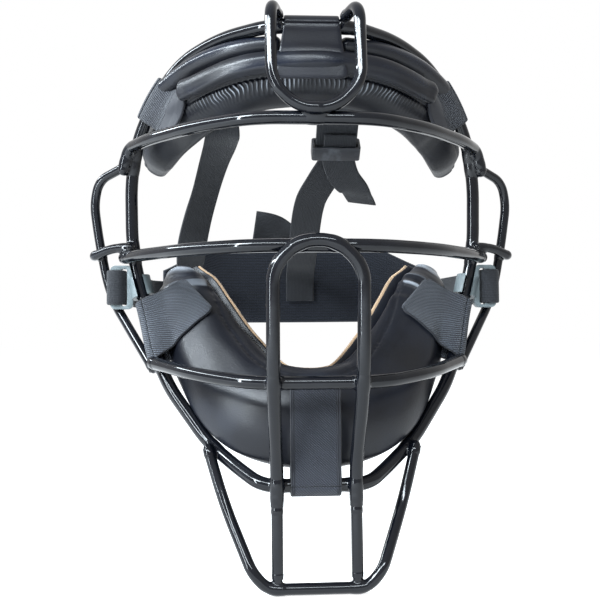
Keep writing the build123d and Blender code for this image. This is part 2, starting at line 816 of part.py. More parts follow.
# The lower side tabs are notched round the feet of the ear guards
with BuildLine() as ear_route:
    FilletPolyline(*ear_points, radius=bend_radii(ear_points))
with BuildSketch(Plane(origin=ear_route.line @ 0, z_dir=ear_route.line % 0)) as ear_notch:
    Circle(ear_wire / 2 + tab_clearance)
for side, side_name in sides:
    with BuildPart() as brow_side_root:
        tab_root(brow_side_frame, tab_bore + brow_side_stray, tab_width, brow_side_tail)
        if side < 0:
            mirror(about=Plane.YZ, mode=Mode.REPLACE)
    write_piece(brow_side_root, f"brow_tab_root_{side_name}")

    with BuildPart() as brow_side_flap:
        tab_flap(brow_side_frame, tab_bore + brow_side_stray, brow_side_corners)
        if side < 0:
            mirror(about=Plane.YZ, mode=Mode.REPLACE)
    write_piece(brow_side_flap, f"brow_tab_flap_{side_name}")

    with BuildPart() as chin_side_root:
        tab_root(chin_side_frame, tab_bore + chin_side_stray, chin_side_width, chin_side_tail)
        sweep(ear_notch.sketch, ear_route.line, mode=Mode.SUBTRACT)
        if side < 0:
            mirror(about=Plane.YZ, mode=Mode.REPLACE)
    write_piece(chin_side_root, f"chin_tab_root_{side_name}")

    with BuildPart() as chin_side_flap:
        tab_flap(chin_side_frame, tab_bore + chin_side_stray, chin_side_corners)
        if side < 0:
            mirror(about=Plane.YZ, mode=Mode.REPLACE)
    write_piece(chin_side_flap, f"chin_tab_flap_{side_name}")

# Clips: a barrel that pushes over the hoop and a plate with a slot for the side strap
clip_spot = hoop_at(clip_height)
clip_axis = -hoop_direction(clip_height)
clip_bore = hoop_wire / 2 + clip_bore_clearance
clip_outer = clip_bore + clip_barrel_wall
plate_plane = Plane(origin=clip_spot, x_dir=(1, 0, 0), z_dir=(0, -1, 0))
plate_middle = clip_plate_start + clip_plate_width / 2
slot_height = strap_width + 2 * clip_slot_clearance
barrel_plane = square_plane(clip_spot, clip_axis, Vector(1, 0, 0))
for side, side_name in sides:
    with BuildPart() as clip:
        with BuildSketch(plate_plane):
            with Locations((plate_middle, 0)):
                RectangleRounded(clip_plate_width, clip_plate_height, clip_corner)
        extrude(amount=clip_plate_thickness / 2, both=True)
        with BuildSketch(plate_plane.offset(clip_plate_thickness / 2 - clip_recess_depth)):
            with Locations((plate_middle, 0)):
                RectangleRounded(
                    clip_plate_width - 2 * clip_recess_border,
                    clip_plate_height - 2 * clip_recess_border,
                    clip_corner / 2,
                )
        extrude(amount=clip_recess_depth + overrun, mode=Mode.SUBTRACT)
        with Locations(barrel_plane):
            Cylinder(clip_outer, clip_barrel_length)
            Cylinder(clip_bore, clip_plate_height + clip_outer, mode=Mode.SUBTRACT)
            with Locations((0, -clip_outer, 0)):
                Box(clip_mouth, 2 * clip_outer, clip_plate_height, mode=Mode.SUBTRACT)
        with BuildSketch(plate_plane):
            with Locations((clip_slot_place, 0)):
                RectangleRounded(clip_slot_width, slot_height, edge_break)
        extrude(amount=clip_plate_thickness, both=True, mode=Mode.SUBTRACT)
        if side < 0:
            mirror(about=Plane.YZ, mode=Mode.REPLACE)
    write_piece(clip, f"clip_{side_name}")

# Band at the back of the head, padded and deepest in the middle
band_out = scaled(band_out_shares, head_half_width)
band_back = scaled(band_back_shares, head_reach)
band_flat_half = band_flat_share * head_half_width
with BuildLine() as band_route:
    Spline(*zip(band_out, band_back))
band_run = band_route.line
band_floor = band_middle - band_height / 2
band_end_floor = band_end_middle - band_end_height / 2
band_profile = [
    (-band_out[-1] - overrun, band_end_floor),
    (-band_flat_half, band_floor),
    (band_flat_half, band_floor),
    (band_out[-1] + overrun, band_end_floor),
    (band_out[-1] + overrun, band_end_floor + band_end_height),
    (band_flat_half, band_floor + band_height),
    (-band_flat_half, band_floor + band_height),
    (-band_out[-1] - overrun, band_end_floor + band_end_height),
]
with BuildPart() as back_band:
    with BuildSketch(Plane.XY.offset(band_floor)):
        with BuildLine():
            Spline(*zip(band_out, band_back))
        trace(line_width=band_thickness)
    extrude(amount=band_height)
    with BuildSketch(Plane.XZ):
        with BuildLine():
            Polyline(*band_profile, close=True)
        make_face()
    extrude(amount=-2 * max(band_back), mode=Mode.INTERSECT)
write_piece(back_band, "back_band")

# Side straps, looped round the outer bar of each clip's slot and sewn to the band
strap_apart = clip_plate_thickness / 2 + strap_clearance + strap_thickness / 2
loop_out = clip_plate_start + clip_plate_width + strap_clearance + strap_thickness / 2
sewn_apart = (band_thickness + strap_thickness) / 2 + sewn_gap
strap_points = [
    (clip_spot.X + clip_slot_place + 2 * strap_thickness, clip_spot.Y + strap_apart),
    (clip_spot.X + loop_out, clip_spot.Y + strap_apart),
    (clip_spot.X + loop_out, clip_spot.Y - strap_apart),
    (clip_spot.X + clip_slot_place, clip_spot.Y - strap_apart),
    (clip_spot.X + clip_slot_place, clip_spot.Y + strap_straight),
]
band_length = sum(run.length for run in band_route.edges())
for share in sewn_shares:
    length = share * sewn_length
    along = 1 - max(length, 0) / band_length
    heading = band_run % along
    spot = band_run @ along + heading * max(-length, 0)
    strap_points.append((spot.X - heading.Y * sewn_apart, spot.Y + heading.X * sewn_apart))
strap_radii = bend_radii([(x, y, 0) for x, y in strap_points])
strap_radii[:3] = [strap_turn] * 3
for side, side_name in sides:
    with BuildPart() as side_strap:
        with BuildSketch(Plane.XY.offset(clip_height - strap_width / 2)):
            with BuildLine():
                FilletPolyline(*strap_points, radius=strap_radii)
            trace(line_width=strap_thickness)
        extrude(amount=strap_width)
        if side < 0:
            mirror(about=Plane.YZ, mode=Mode.REPLACE)
    write_piece(side_strap, f"side_strap_{side_name}")

# Keeper, a flat ring round the three layers of webbing at the crown
slope = math.radians(keeper_slope)
keeper_along = Vector(0, math.cos(slope), -math.sin(slope))
keeper_front = Vector(0, -math.sin(slope), -math.cos(slope))
keeper_middle = Vector(*strap_place(keeper_place_shares))
layer_pitch = strap_thickness + layer_gap
keeper_inner_width = top_strap_width + 2 * keeper_clearance
keeper_inner_height = 2 * layer_pitch + strap_thickness + 2 * keeper_clearance
with BuildPart() as keeper:
    with BuildSketch(Plane(origin=keeper_middle, x_dir=(1, 0, 0), z_dir=keeper_along)):
        RectangleRounded(
            keeper_inner_width + 2 * keeper_wall,
            keeper_inner_height + 2 * keeper_wall,
            keeper_wall,
        )
        Rectangle(keeper_inner_width, keeper_inner_height, mode=Mode.SUBTRACT)
    extrude(amount=keeper_length / 2, both=True)
write_piece(keeper, "keeper")


def in_keeper(lengths, layer, aside=0.0):
    """Give rows of webbing that run straight through the keeper, layer counted to the front."""
    rows = []
    for length in lengths:
        place = keeper_middle + keeper_along * length + keeper_front * layer * layer_pitch
        rows.append(((place.X + aside, place.Y, place.Z), tuple(keeper_front)))
    return rows


# Top strap, crown straps, the loose tail and a short tab of webbing
with BuildPart() as top_strap:
    top_rows = strap_rows(top_strap_shares) + in_keeper(top_strap_lengths, 0)
    ribbon(top_rows, top_strap_width)
write_piece(top_strap, "top_strap")

with BuildPart() as crown_strap_right:
    ribbon(in_keeper(crown_right_lengths, -1) + strap_rows(crown_right_shares), strap_width)
write_piece(crown_strap_right, "crown_strap_right")

with BuildPart() as crown_strap_left:
    ribbon(strap_rows(crown_left_shares), strap_width)
write_piece(crown_strap_left, "crown_strap_left")

with BuildPart() as strap_tail:
    tail_rows = in_keeper(tail_lengths, 1.0, tail_aside) + strap_rows(tail_end_shares)
    ribbon(tail_rows, strap_width)
write_piece(strap_tail, "strap_tail")

with BuildPart() as strap_tab:
    ribbon(strap_rows(strap_tab_shares), strap_width)
write_piece(strap_tab, "strap_tab")
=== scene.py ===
"""Looks of a wire face guard: dipped wires, leather pads, webbing tabs and a stretch harness.

Every length in this file is in millimetres until a mesh is written, which is in metres.
+Z is up, the guard faces -Y and +X is to the right as seen from the front.
"""

import json
import logging
import math
from dataclasses import dataclass, field
from enum import Enum
from typing import Callable, Optional, Sequence, Union

import bpy
import numpy as np
from mathutils import Matrix, Vector
from mathutils.bvhtree import BVHTree

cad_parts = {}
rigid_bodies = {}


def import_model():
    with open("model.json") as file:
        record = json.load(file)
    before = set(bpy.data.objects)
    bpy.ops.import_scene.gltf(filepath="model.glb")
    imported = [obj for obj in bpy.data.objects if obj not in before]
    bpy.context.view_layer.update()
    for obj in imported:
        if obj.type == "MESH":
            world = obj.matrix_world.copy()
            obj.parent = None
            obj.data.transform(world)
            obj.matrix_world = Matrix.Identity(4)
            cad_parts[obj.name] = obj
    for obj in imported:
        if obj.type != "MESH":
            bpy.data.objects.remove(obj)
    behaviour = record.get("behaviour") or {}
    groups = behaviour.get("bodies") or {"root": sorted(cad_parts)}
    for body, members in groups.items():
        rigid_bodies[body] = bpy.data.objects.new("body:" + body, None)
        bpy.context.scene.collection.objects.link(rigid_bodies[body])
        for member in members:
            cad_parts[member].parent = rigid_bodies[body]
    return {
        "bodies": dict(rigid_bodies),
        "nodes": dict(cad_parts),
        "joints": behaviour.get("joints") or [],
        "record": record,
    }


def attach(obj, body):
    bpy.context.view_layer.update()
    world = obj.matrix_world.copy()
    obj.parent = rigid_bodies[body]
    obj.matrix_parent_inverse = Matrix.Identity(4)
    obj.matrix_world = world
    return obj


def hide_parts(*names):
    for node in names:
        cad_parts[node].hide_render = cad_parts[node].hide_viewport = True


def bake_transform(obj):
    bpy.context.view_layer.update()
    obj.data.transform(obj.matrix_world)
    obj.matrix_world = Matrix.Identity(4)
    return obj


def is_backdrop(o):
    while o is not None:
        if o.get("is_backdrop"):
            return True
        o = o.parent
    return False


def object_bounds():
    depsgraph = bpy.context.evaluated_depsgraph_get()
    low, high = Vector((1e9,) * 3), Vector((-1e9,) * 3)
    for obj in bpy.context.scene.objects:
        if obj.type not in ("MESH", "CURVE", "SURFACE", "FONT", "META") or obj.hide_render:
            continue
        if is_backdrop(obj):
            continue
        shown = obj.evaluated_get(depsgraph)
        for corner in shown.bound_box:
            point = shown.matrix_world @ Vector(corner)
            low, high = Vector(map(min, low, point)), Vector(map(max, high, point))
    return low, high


LOG = logging.getLogger("face_guard")
METRE = 0.001
CAGE = "cage"
BAND = "band"
CLOTH_PLACE = "cloth"
CREASE = "crease"
STRAP_THICKNESS = 1.8
EDGE_SHARES = (0.0, 0.08, 0.3, 0.6, 1.0)
MIRROR = np.array([-1.0, 1.0, 1.0])

Array = np.ndarray
Colour = tuple[float, float, float]


class Side(Enum):
    """Side of the guard as seen from the front."""

    LEFT = -1
    RIGHT = 1

    @property
    def word(self) -> str:
        """Name of the side, as the nodes carry it."""
        return self.name.lower()


# ---- shader and geometry graphs


class Flow:
    """One output socket. The usual operators on it add the Math nodes that they stand for."""

    def __init__(self, graph: "Graph", socket: bpy.types.NodeSocket) -> None:
        """Keep the socket and the graph that it belongs to."""
        self.graph = graph
        self.socket = socket

    def _math(self, operation: str, *others: "Number", swap: bool = False) -> "Flow":
        """Add a Math node.

        Args:
            operation: Name of the node's operation.
            others: The other values, sockets or numbers.
            swap: True where this socket is the second value.

        Returns:
            The node's result.
        """
        values = [self, *others]
        if swap:
            values.reverse()
        inputs = dict(enumerate(values))
        return self.graph.flow("ShaderNodeMath", {"operation": operation}, inputs)

    def __add__(self, other: "Number") -> "Flow":
        """Sum."""
        return self._math("ADD", other)

    __radd__ = __add__

    def __mul__(self, other: "Number") -> "Flow":
        """Product."""
        return self._math("MULTIPLY", other)

    __rmul__ = __mul__

    def __sub__(self, other: "Number") -> "Flow":
        """Difference."""
        return self._math("SUBTRACT", other)

    def __rsub__(self, other: "Number") -> "Flow":
        """Difference from a number."""
        return self._math("SUBTRACT", other, swap=True)

    def sine(self) -> "Flow":
        """Sine of the value, in radians."""
        return self._math("SINE")

    def size(self) -> "Flow":
        """Value without its sign."""
        return self._math("ABSOLUTE")

    def most(self, other: "Number") -> "Flow":
        """Higher of two values."""
        return self._math("MAXIMUM", other)

    def step(self, low: float, high: float) -> "Flow":
        """Run smoothly from 0 to 1.

        Args:
            low: Value that gives 0.
            high: Value that gives 1.

        Returns:
            The share.
        """
        inputs = {"Value": self, "From Min": low, "From Max": high}
        settings = {"interpolation_type": "SMOOTHSTEP"}
        return self.graph.flow("ShaderNodeMapRange", settings, inputs)


Number = Union[Flow, float]


class Graph:
    """A node tree that is written with expressions."""

    def __init__(self, tree: bpy.types.NodeTree) -> None:
        """Keep the tree to add to."""
        self.tree = tree

    def node(
        self, kind: str, settings: Optional[dict] = None, inputs: Optional[dict] = None
    ) -> bpy.types.Node:
        """Add a node.

        Args:
            kind: Type name of the node.
            settings: Its own settings, set first.
            inputs: Values or links of its sockets, by name or place.

        Returns:
            The node.
        """
        made = self.tree.nodes.new(kind)
        for key, value in (settings or {}).items():
            setattr(made, key, value)
        for key, value in (inputs or {}).items():
            self.feed(made.inputs[key], value)
        return made

    def feed(self, socket: bpy.types.NodeSocket, value: object) -> None:
        """Link a flow to a socket, or set the socket's own value.

        Args:
            socket: Socket to feed.
            value: The flow, or the value to set.
        """
        if isinstance(value, Flow):
            self.tree.links.new(value.socket, socket)
        else:
            socket.default_value = value

    def flow(
        self,
        kind: str,
        settings: Optional[dict] = None,
        inputs: Optional[dict] = None,
        output: Union[int, str] = 0,
    ) -> Flow:
        """Add a node and give one of its outputs."""
        return Flow(self, self.node(kind, settings, inputs).outputs[output])

    def noise(self, place: Flow, scale: float, detail: float = 3.0) -> Flow:
        """Fractal noise from 0 to 1; scale is in features a unit of the place."""
        inputs = {"Vector": place, "Scale": scale, "Detail": detail}
        return self.flow("ShaderNodeTexNoise", None, inputs)

    def cells(self, place: Flow, scale: float) -> Flow:
        """Distance to the middle of the nearest cell."""
        inputs = {"Vector": place, "Scale": scale}
        return self.flow("ShaderNodeTexVoronoi", {"feature": "SMOOTH_F1"}, inputs)

    def mixed(self, share: Number, first: object, second: object) -> Flow:
        """Blend two colours.

        Args:
            share: Share of the second colour.
            first: A colour, or a flow of colour.
            second: The other.

        Returns:
            The blend.
        """
        ends = [(*c, 1.0) if isinstance(c, tuple) else c for c in (first, second)]
        inputs = {0: share, 6: ends[0], 7: ends[1]}
        return self.flow("ShaderNodeMix", {"data_type": "RGBA"}, inputs, 2)

    def apart(self, vector: Flow) -> tuple[Flow, Flow, Flow]:
        """Take a vector apart."""
        parts = self.node("ShaderNodeSeparateXYZ", None, {0: vector})
        return tuple(Flow(self, socket) for socket in parts.outputs)

    def attribute(self, name: str, output: str) -> Flow:
        """Read an attribute of the mesh."""
        return self.flow("ShaderNodeAttribute", {"attribute_name": name}, None, output)

    def object_place(self) -> Flow:
        """Place on the object, in metres."""
        return self.flow("ShaderNodeTexCoord", None, None, "Object")


class Surface(Graph):
    """The graph of a material, with its one shader."""

    def __init__(self, name: str, inputs: dict) -> None:
        """Start the material.

        Args:
            name: Name of the material.
            inputs: Values of the shader's own sockets.
        """
        self.material = bpy.data.materials.new(name)
        self.material.use_nodes = True
        self.material.node_tree.nodes.clear()
        super().__init__(self.material.node_tree)
        self.shader = self.node("ShaderNodeBsdfPrincipled", None, inputs)
        self.node("ShaderNodeOutputMaterial", None, {0: Flow(self, self.shader.outputs[0])})

    def give(self, name: str, value: Flow) -> None:
        """Feed one of the shader's sockets."""
        self.feed(self.shader.inputs[name], value)

    def bump(self, height: Flow, relief: float, strength: float) -> None:
        """Turn a height from 0 to 1 into the shader's normal."""
        inputs = {"Strength": strength, "Distance": relief, "Height": height}
        self.give("Normal", self.flow("ShaderNodeBump", None, inputs))


# ---- finishes


@dataclass(frozen=True)
class Finish:
    """A finish of the guard. A subclass draws its colour, gloss and relief."""

    name: str
    slot: str
    dark: Colour
    light: Colour
    roughness: float
    specular: float = 0.3
    relief: float = 0.0002
    sheen: float = 0.0

    def draw(self, surface: Surface) -> None:
        """Feed the shader's sockets."""
        raise NotImplementedError

    def paint(self, surface: Surface, share: Flow, rough: Optional[Flow] = None) -> None:
        """Colour the surface from dark to light, and vary its gloss.

        Args:
            surface: Surface to draw on.
            share: Share of the light colour.
            rough: Roughness, where it varies.
        """
        surface.give("Base Color", surface.mixed(share, self.dark, self.light))
        if rough is not None:
            surface.give("Roughness", rough)

    def material(self) -> bpy.types.Material:
        """Make the material, or find it where it is already made.

        Returns:
            The material.
        """
        found = bpy.data.materials.get(self.name)
        if found:
            return found
        settled = {
            "Roughness": self.roughness,
            "Specular IOR Level": self.specular,
            "Sheen Weight": self.sheen,
        }
        surface = Surface(self.name, settled)
        self.draw(surface)
        return surface.material


@dataclass(frozen=True)
class DippedCoating(Finish):
    """Thick glossy coating of the wires, a little wavy from the dip and rubbed on its tops."""

    name: str = "dipped_coating"
    slot: str = "coated_wire"
    dark: Colour = (0.002, 0.0025, 0.004)
    light: Colour = (0.010, 0.011, 0.014)
    roughness: float = 0.07
    specular: float = 0.24
    relief: float = 0.0003
    rub_scale: float = 46.0
    dust_scale: float = 900.0
    wave_scale: float = 120.0
    ripple_scale: float = 700.0

    def draw(self, surface: Surface) -> None:
        """Draw waves, rubbed patches and fine dust.

        Args:
            surface: Surface to draw on.
        """
        place = surface.object_place()
        rubbed = surface.noise(place, self.rub_scale, 4.0).step(0.50, 0.80)
        dust = surface.noise(place, self.dust_scale, 2.0).step(0.55, 0.85)
        rough = rubbed * 0.10 + dust * 0.05 + self.roughness
        self.paint(surface, rubbed * 0.5 + dust * 0.25, rough)
        wave = surface.noise(place, self.wave_scale, 2.0) * 0.7
        ripple = surface.noise(place, self.ripple_scale, 1.0) * 0.12
        surface.bump(wave + ripple, self.relief, 0.35)


@dataclass(frozen=True)
class PadLeather(Finish):
    """Black synthetic leather with a fine grain, glossy where it is pulled tight."""

    name: str = "pad_leather"
    slot: str = "black_leather"
    dark: Colour = (0.0025, 0.003, 0.005)
    light: Colour = (0.008, 0.010, 0.016)
    roughness: float = 0.34
    specular: float = 0.24
    # Painted highlight: colour of the crease tops, standing in for the glints of the lamps on
    # them.
    crest: Colour = (0.26, 0.28, 0.31)
    crest_span: tuple[float, float] = (0.12, 0.58)
    grain: float = 1250.0
    wear_scale: float = 38.0
    fine_scale: float = 2600.0
    glossiest: float = 0.12

    def draw(self, surface: Surface) -> None:
        """Draw the grain, worn patches and a painted highlight on the tops of the creases.

        Args:
            surface: Surface to draw on.
        """
        place = surface.object_place()
        crease = surface.attribute(CREASE, "Fac")
        worn = surface.noise(place, self.wear_scale, 5.0).step(0.42, 0.78)
        pores = surface.cells(place, self.grain).step(0.0, 0.75)
        fine = surface.noise(place, self.fine_scale, 2.0)
        # The crease tops are lightened here and paled further below: painted highlight, not wear.
        share = worn * 0.55 + crease.most(0.0) * 0.5
        leather = surface.mixed(share, self.dark, self.light)
        colour = surface.mixed(crease.step(*self.crest_span), leather, self.crest)
        surface.give("Base Color", colour)
        rough = worn * 0.12 + self.roughness - crease.most(0.0) * 0.34 + fine * 0.05
        surface.give("Roughness", rough.most(self.glossiest))
        surface.bump(pores * 0.5 + fine * 0.1, self.relief, 0.22)


@dataclass(frozen=True)
class TwillWebbing(Finish):
    """Heavy webbing of the tabs, woven in steep diagonal ribs between plain selvages."""

    name: str = "twill_webbing"
    slot: str = "webbing"
    dark: Colour = (0.005, 0.006, 0.010)
    light: Colour = (0.060, 0.070, 0.100)
    roughness: float = 0.6
    relief: float = 0.0011
    sheen: float = 0.10
    pitch: float = 1.35
    lean: float = 1.1
    pick_lean: float = 0.35
    pick_rate: float = 2.1
    cord_rate: float = 1.3
    border: float = 2.4
    tip_from: float = 900.0

    def draw(self, surface: Surface) -> None:
        """Draw the ribs, the picks that cross them, the selvages and the bound tip.

        Args:
            surface: Surface to draw on.
        """
        along, across, inset = surface.apart(surface.attribute(CLOTH_PLACE, "Vector"))
        turn = math.pi / self.pitch
        rib = ((along * self.lean + across) * turn).sine().size()
        pick = ((along - across * self.pick_lean) * (turn * self.pick_rate)).sine().size()
        cord = (across * (turn * self.cord_rate)).sine().size()
        woven = rib * (pick * 0.6 + 0.4)
        body = inset.step(self.border * 0.8, self.border * 1.1)
        height = woven * body + cord * 0.55 * (1.0 - body)
        place = surface.object_place()
        fuzz = surface.noise(place, 3200.0, 2.0)
        faded = surface.noise(place, 60.0, 3.0)
        cloth = 1.0 - along.step(self.tip_from, self.tip_from + 0.5)
        lit = height.step(0.52, 1.0) * (fuzz * 0.8 + 0.35) * (faded * 0.9 + 0.45) * cloth
        self.paint(surface, lit, self.roughness + fuzz * 0.25 * cloth)
        surface.bump((height + fuzz * 0.12 + 0.4) * cloth, self.relief, 0.75)


@dataclass(frozen=True)
class RibbedCloth(Finish):
    """Flat cloth in fine ribs along its length. Its plain values are the black webbing's."""

    name: str = "strap_webbing"
    slot: str = "webbing"
    dark: Colour = (0.003, 0.0035, 0.005)
    light: Colour = (0.014, 0.016, 0.020)
    roughness: float = 0.66
    specular: float = 0.25
    relief: float = 0.0005
    sheen: float = 0.08
    pitch: float = 0.95
    pick_rate: float = 1.6
    stagger: float = 0.0
    fuzz_scale: float = 2800.0
    fuzz_detail: float = 2.0
    fuzz_rough: float = 0.2
    fuzz_relief: float = 0.2
    fade_scale: float = 34.0
    fade: tuple[float, float] = (0.9, 0.25)
    lit_from: float = 0.35
    strength: float = 0.5

    def draw(self, surface: Surface) -> None:
        """Draw the ribs and the picks between them.

        Args:
            surface: Surface to draw on.
        """
        along, across, _inset = surface.apart(surface.attribute(CLOTH_PLACE, "Vector"))
        turn = math.pi / self.pitch
        rib = (across * turn).sine().size()
        pick = ((along + rib * self.stagger) * (turn * self.pick_rate)).sine().size()
        height = rib * 0.6 + pick * 0.4
        place = surface.object_place()
        fuzz = surface.noise(place, self.fuzz_scale, self.fuzz_detail)
        faded = surface.noise(place, self.fade_scale, 3.0) * self.fade[0] + self.fade[1]
        lit = height.step(self.lit_from, 1.0) * faded
        self.paint(surface, lit, self.roughness + fuzz * self.fuzz_rough)
        surface.bump(height + fuzz * self.fuzz_relief, self.relief, self.strength)


@dataclass(frozen=True)
class LiningSuede(Finish):
    """Tan suede of the chin lining, with a short nap and darker handled patches."""

    name: str = "lining_suede"
    slot: str = "suede_lining"
    dark: Colour = (0.150, 0.092, 0.050)
    light: Colour = (0.360, 0.245, 0.150)
    roughness: float = 0.88
    relief: float = 0.0004
    sheen: float = 0.25

    def draw(self, surface: Surface) -> None:
        """Draw the nap and the handling marks.

        Args:
            surface: Surface to draw on.
        """
        place = surface.object_place()
        handled = surface.noise(place, 32.0, 4.0).step(0.30, 0.72)
        nap = surface.noise(place, 2200.0, 4.0)
        self.paint(surface, handled * 0.75 + nap * 0.25)
        surface.bump(nap, self.relief, 0.7)


@dataclass(frozen=True)
class MouldedPlastic(Finish):
    """Satin moulded plastic with a fine spark-eroded skin and scuffs."""

    name: str = "clip_grey"
    slot: str = "clip_plastic"
    dark: Colour = (0.085, 0.104, 0.110)
    light: Colour = (0.150, 0.175, 0.180)
    roughness: float = 0.42
    relief: float = 0.00015

    def draw(self, surface: Surface) -> None:
        """Draw the skin and the scuffs.

        Args:
            surface: Surface to draw on.
        """
        place = surface.object_place()
        skin = surface.noise(place, 3000.0, 2.0)
        scuffed = surface.noise(place, 150.0, 5.0).step(0.48, 0.75)
        self.paint(surface, scuffed, scuffed * 0.2 + self.roughness)
        surface.bump(skin, self.relief, 0.35)


@dataclass(frozen=True)
class PadFoam(Finish):
    """Closed-cell foam inside the pads."""

    name: str = "pad_foam"
    slot: str = "foam"
    dark: Colour = (0.20, 0.20, 0.21)
    light: Colour = (0.33, 0.33, 0.34)
    roughness: float = 0.9

    def draw(self, surface: Surface) -> None:
        """Draw the cells.

        Args:
            surface: Surface to draw on.
        """
        cells = surface.cells(surface.object_place(), 900.0)
        self.paint(surface, cells)
        surface.bump(cells, self.relief, 0.5)


COATING = DippedCoating()
LEATHER = PadLeather()
# The smooth and wrap leathers carry a weaker painted highlight on their crease tops.
SMOOTH_LEATHER = PadLeather(name="smooth_leather", crest=(0.008, 0.010, 0.016))
WRAP_LEATHER = PadLeather(
    name="wrap_leather", dark=(0.003, 0.0035, 0.006), light=(0.008, 0.009, 0.014),
    crest=(0.010, 0.011, 0.017), roughness=0.30,
)
TAB_TWILL = TwillWebbing()
FINE_TWILL = TwillWebbing(
    name="fine_twill", light=(0.150, 0.175, 0.215), pitch=1.3, lean=0.75, relief=0.0012,
    border=0.8,
)
TIPPED_TWILL = TwillWebbing(
    name="tipped_twill", light=(0.110, 0.120, 0.140), pitch=1.1, lean=0.35, relief=0.0012,
    border=0.8, tip_from=15.0,
)
STRAP_BLACK = RibbedCloth()
KNIT = RibbedCloth(
    name="band_knit", slot="band_fabric", dark=(0.003, 0.004, 0.006),
    light=(0.010, 0.012, 0.019), roughness=0.80, specular=0.14, relief=0.0006, sheen=0.15,
    pitch=1.9, pick_rate=1.5, stagger=0.4, fuzz_scale=2400.0, fuzz_detail=3.0,
    fuzz_rough=0.15, fuzz_relief=0.25, fade_scale=22.0, fade=(1.0, 0.15), lit_from=0.25,
    strength=0.6,
)
SUEDE = LiningSuede()
CLIP_GREY = MouldedPlastic()
KEEPER_BLACK = MouldedPlastic(
    name="keeper_black", slot="keeper_plastic", dark=(0.010, 0.011, 0.014),
    light=(0.040, 0.043, 0.050),
)
FOAM = PadFoam()


# ---- objects and their bodies


def linked(name: str, data: bpy.types.ID) -> bpy.types.Object:
    """Put an object into the scene.

    Args:
        name: Name of the object.
        data: Its mesh, curve, light or camera.

    Returns:
        The object.
    """
    made = bpy.data.objects.new(name, data)
    bpy.context.scene.collection.objects.link(made)
    return made


def baked(carrier: bpy.types.Object, name: str) -> bpy.types.Mesh:
    """Turn what an object's modifiers make into a plain mesh.

    Args:
        carrier: Object with the modifiers, which is removed.
        name: Name of the mesh.

    Returns:
        The mesh.
    """
    depsgraph = bpy.context.evaluated_depsgraph_get()
    mesh = bpy.data.meshes.new_from_object(carrier.evaluated_get(depsgraph))
    bpy.data.objects.remove(carrier)
    mesh.name = name
    return mesh


def dressed(
    piece: bpy.types.Object, finish: Finish, body: Optional[str], *nodes: str, fill: float = 0.0
) -> None:
    """Say what a piece moves with and which nodes it stands for.

    Args:
        piece: The piece.
        finish: Its finish, which names the slot; not used.
        body: Body that it rides on, or None where it is left without one.
        nodes: Nodes that it stands for.
        fill: How full it is, where it is padded; not used.
    """
    if body:
        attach(piece, body)
    if nodes:
        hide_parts(*nodes)
    LOG.info("%s made", piece.name)


# ---- lines and sheets


def unit(vectors: Array) -> Array:
    """Scale vectors to length 1."""
    return vectors / np.maximum(np.linalg.norm(vectors, axis=-1, keepdims=True), 1e-12)


def lengths_along(points: Array) -> Array:
    """Give how far along the line each point is."""
    steps = np.linalg.norm(np.diff(points, axis=0), axis=1)
    return np.concatenate([[0.0], np.cumsum(steps)])


def read_at(points: Array, marks: Array, at: Array) -> Array:
    """Read a line of straight runs at places along it."""
    return np.stack([np.interp(at, marks, column) for column in points.T], axis=1)


def spaced(points: Array, step: float) -> Array:
    """Place points at even steps along a line.

    Args:
        points: Points of the line.
        step: Step to come near to.

    Returns:
        The new points, the ends of the line among them.
    """
    run = lengths_along(points)
    count = max(2, int(round(run[-1] / step)) + 1)
    return read_at(points, run, np.linspace(0.0, run[-1], count))


def through(rows: Array, marks: Array, at: Array) -> Array:
    """Run a smooth curve through rows of values.

    Args:
        rows: Values, one row a mark.
        marks: Rising places of the rows.
        at: Places to read the curve at.

    Returns:
        One row of values a place.
    """
    rows = np.asarray(rows, float).reshape(len(marks), -1)
    slopes = np.empty_like(rows)
    gaps = np.diff(marks)[:, None]
    slopes[1:-1] = (rows[2:] - rows[:-2]) / (gaps[1:] + gaps[:-1])
    slopes[0] = (rows[1] - rows[0]) / gaps[0]
    slopes[-1] = (rows[-1] - rows[-2]) / gaps[-1]
    low = np.clip(np.searchsorted(marks, at, side="right") - 1, 0, len(marks) - 2)
    width = (marks[low + 1] - marks[low])[:, None]
    share = ((at - marks[low])[:, None] / width).clip(0.0, 1.0)
    cube, square = share**3, share**2
    return (
        rows[low] * (2 * cube - 3 * square + 1)
        + rows[low + 1] * (3 * square - 2 * cube)
        + slopes[low] * width * (cube - 2 * square + share)
        + slopes[low + 1] * width * (cube - square)
    )


def swell(lengths: Array, period: float, seed: int) -> Array:
    """Give a smooth uneven wave from -1 to 1 along a length.

    Args:
        lengths: Places, in millimetres, of any shape.
        period: Usual distance between two crests.
        seed: Seed of its knots.

    Returns:
        Values of the same shape.
    """
    places = np.asarray(lengths, float) / period
    base = np.floor(places).astype(int)
    knots = np.random.default_rng(seed).uniform(-1.0, 1.0, 4096)
    share = places - base
    share = share * share * (3 - 2 * share)
    return knots[base % 4096] * (1 - share) + knots[(base + 1) % 4096] * share


@dataclass
class MeshData:
    """Points in millimetres, faces, and values of the points, before they are a mesh."""

    points: Array
    faces: list[tuple[int, ...]]
    values: dict[str, Array] = field(default_factory=dict)

    def made(self, name: str, finish: Finish) -> bpy.types.Object:
        """Write the mesh.

        Args:
            name: Name of the piece.
            finish: Its finish.

        Returns:
            The piece, at the origin.
        """
        mesh = bpy.data.meshes.new(name)
        mesh.from_pydata((self.points * METRE).tolist(), [], self.faces)
        for key, value in self.values.items():
            if value.ndim == 1:
                mesh.attributes.new(key, "FLOAT", "POINT").data.foreach_set("value", value)
            else:
                layer = mesh.attributes.new(key, "FLOAT_VECTOR", "POINT")
                layer.data.foreach_set("vector", value.astype(np.float32).ravel())
        mesh.shade_smooth()
        mesh.materials.append(finish.material())
        mesh.validate()
        return linked(name, mesh)


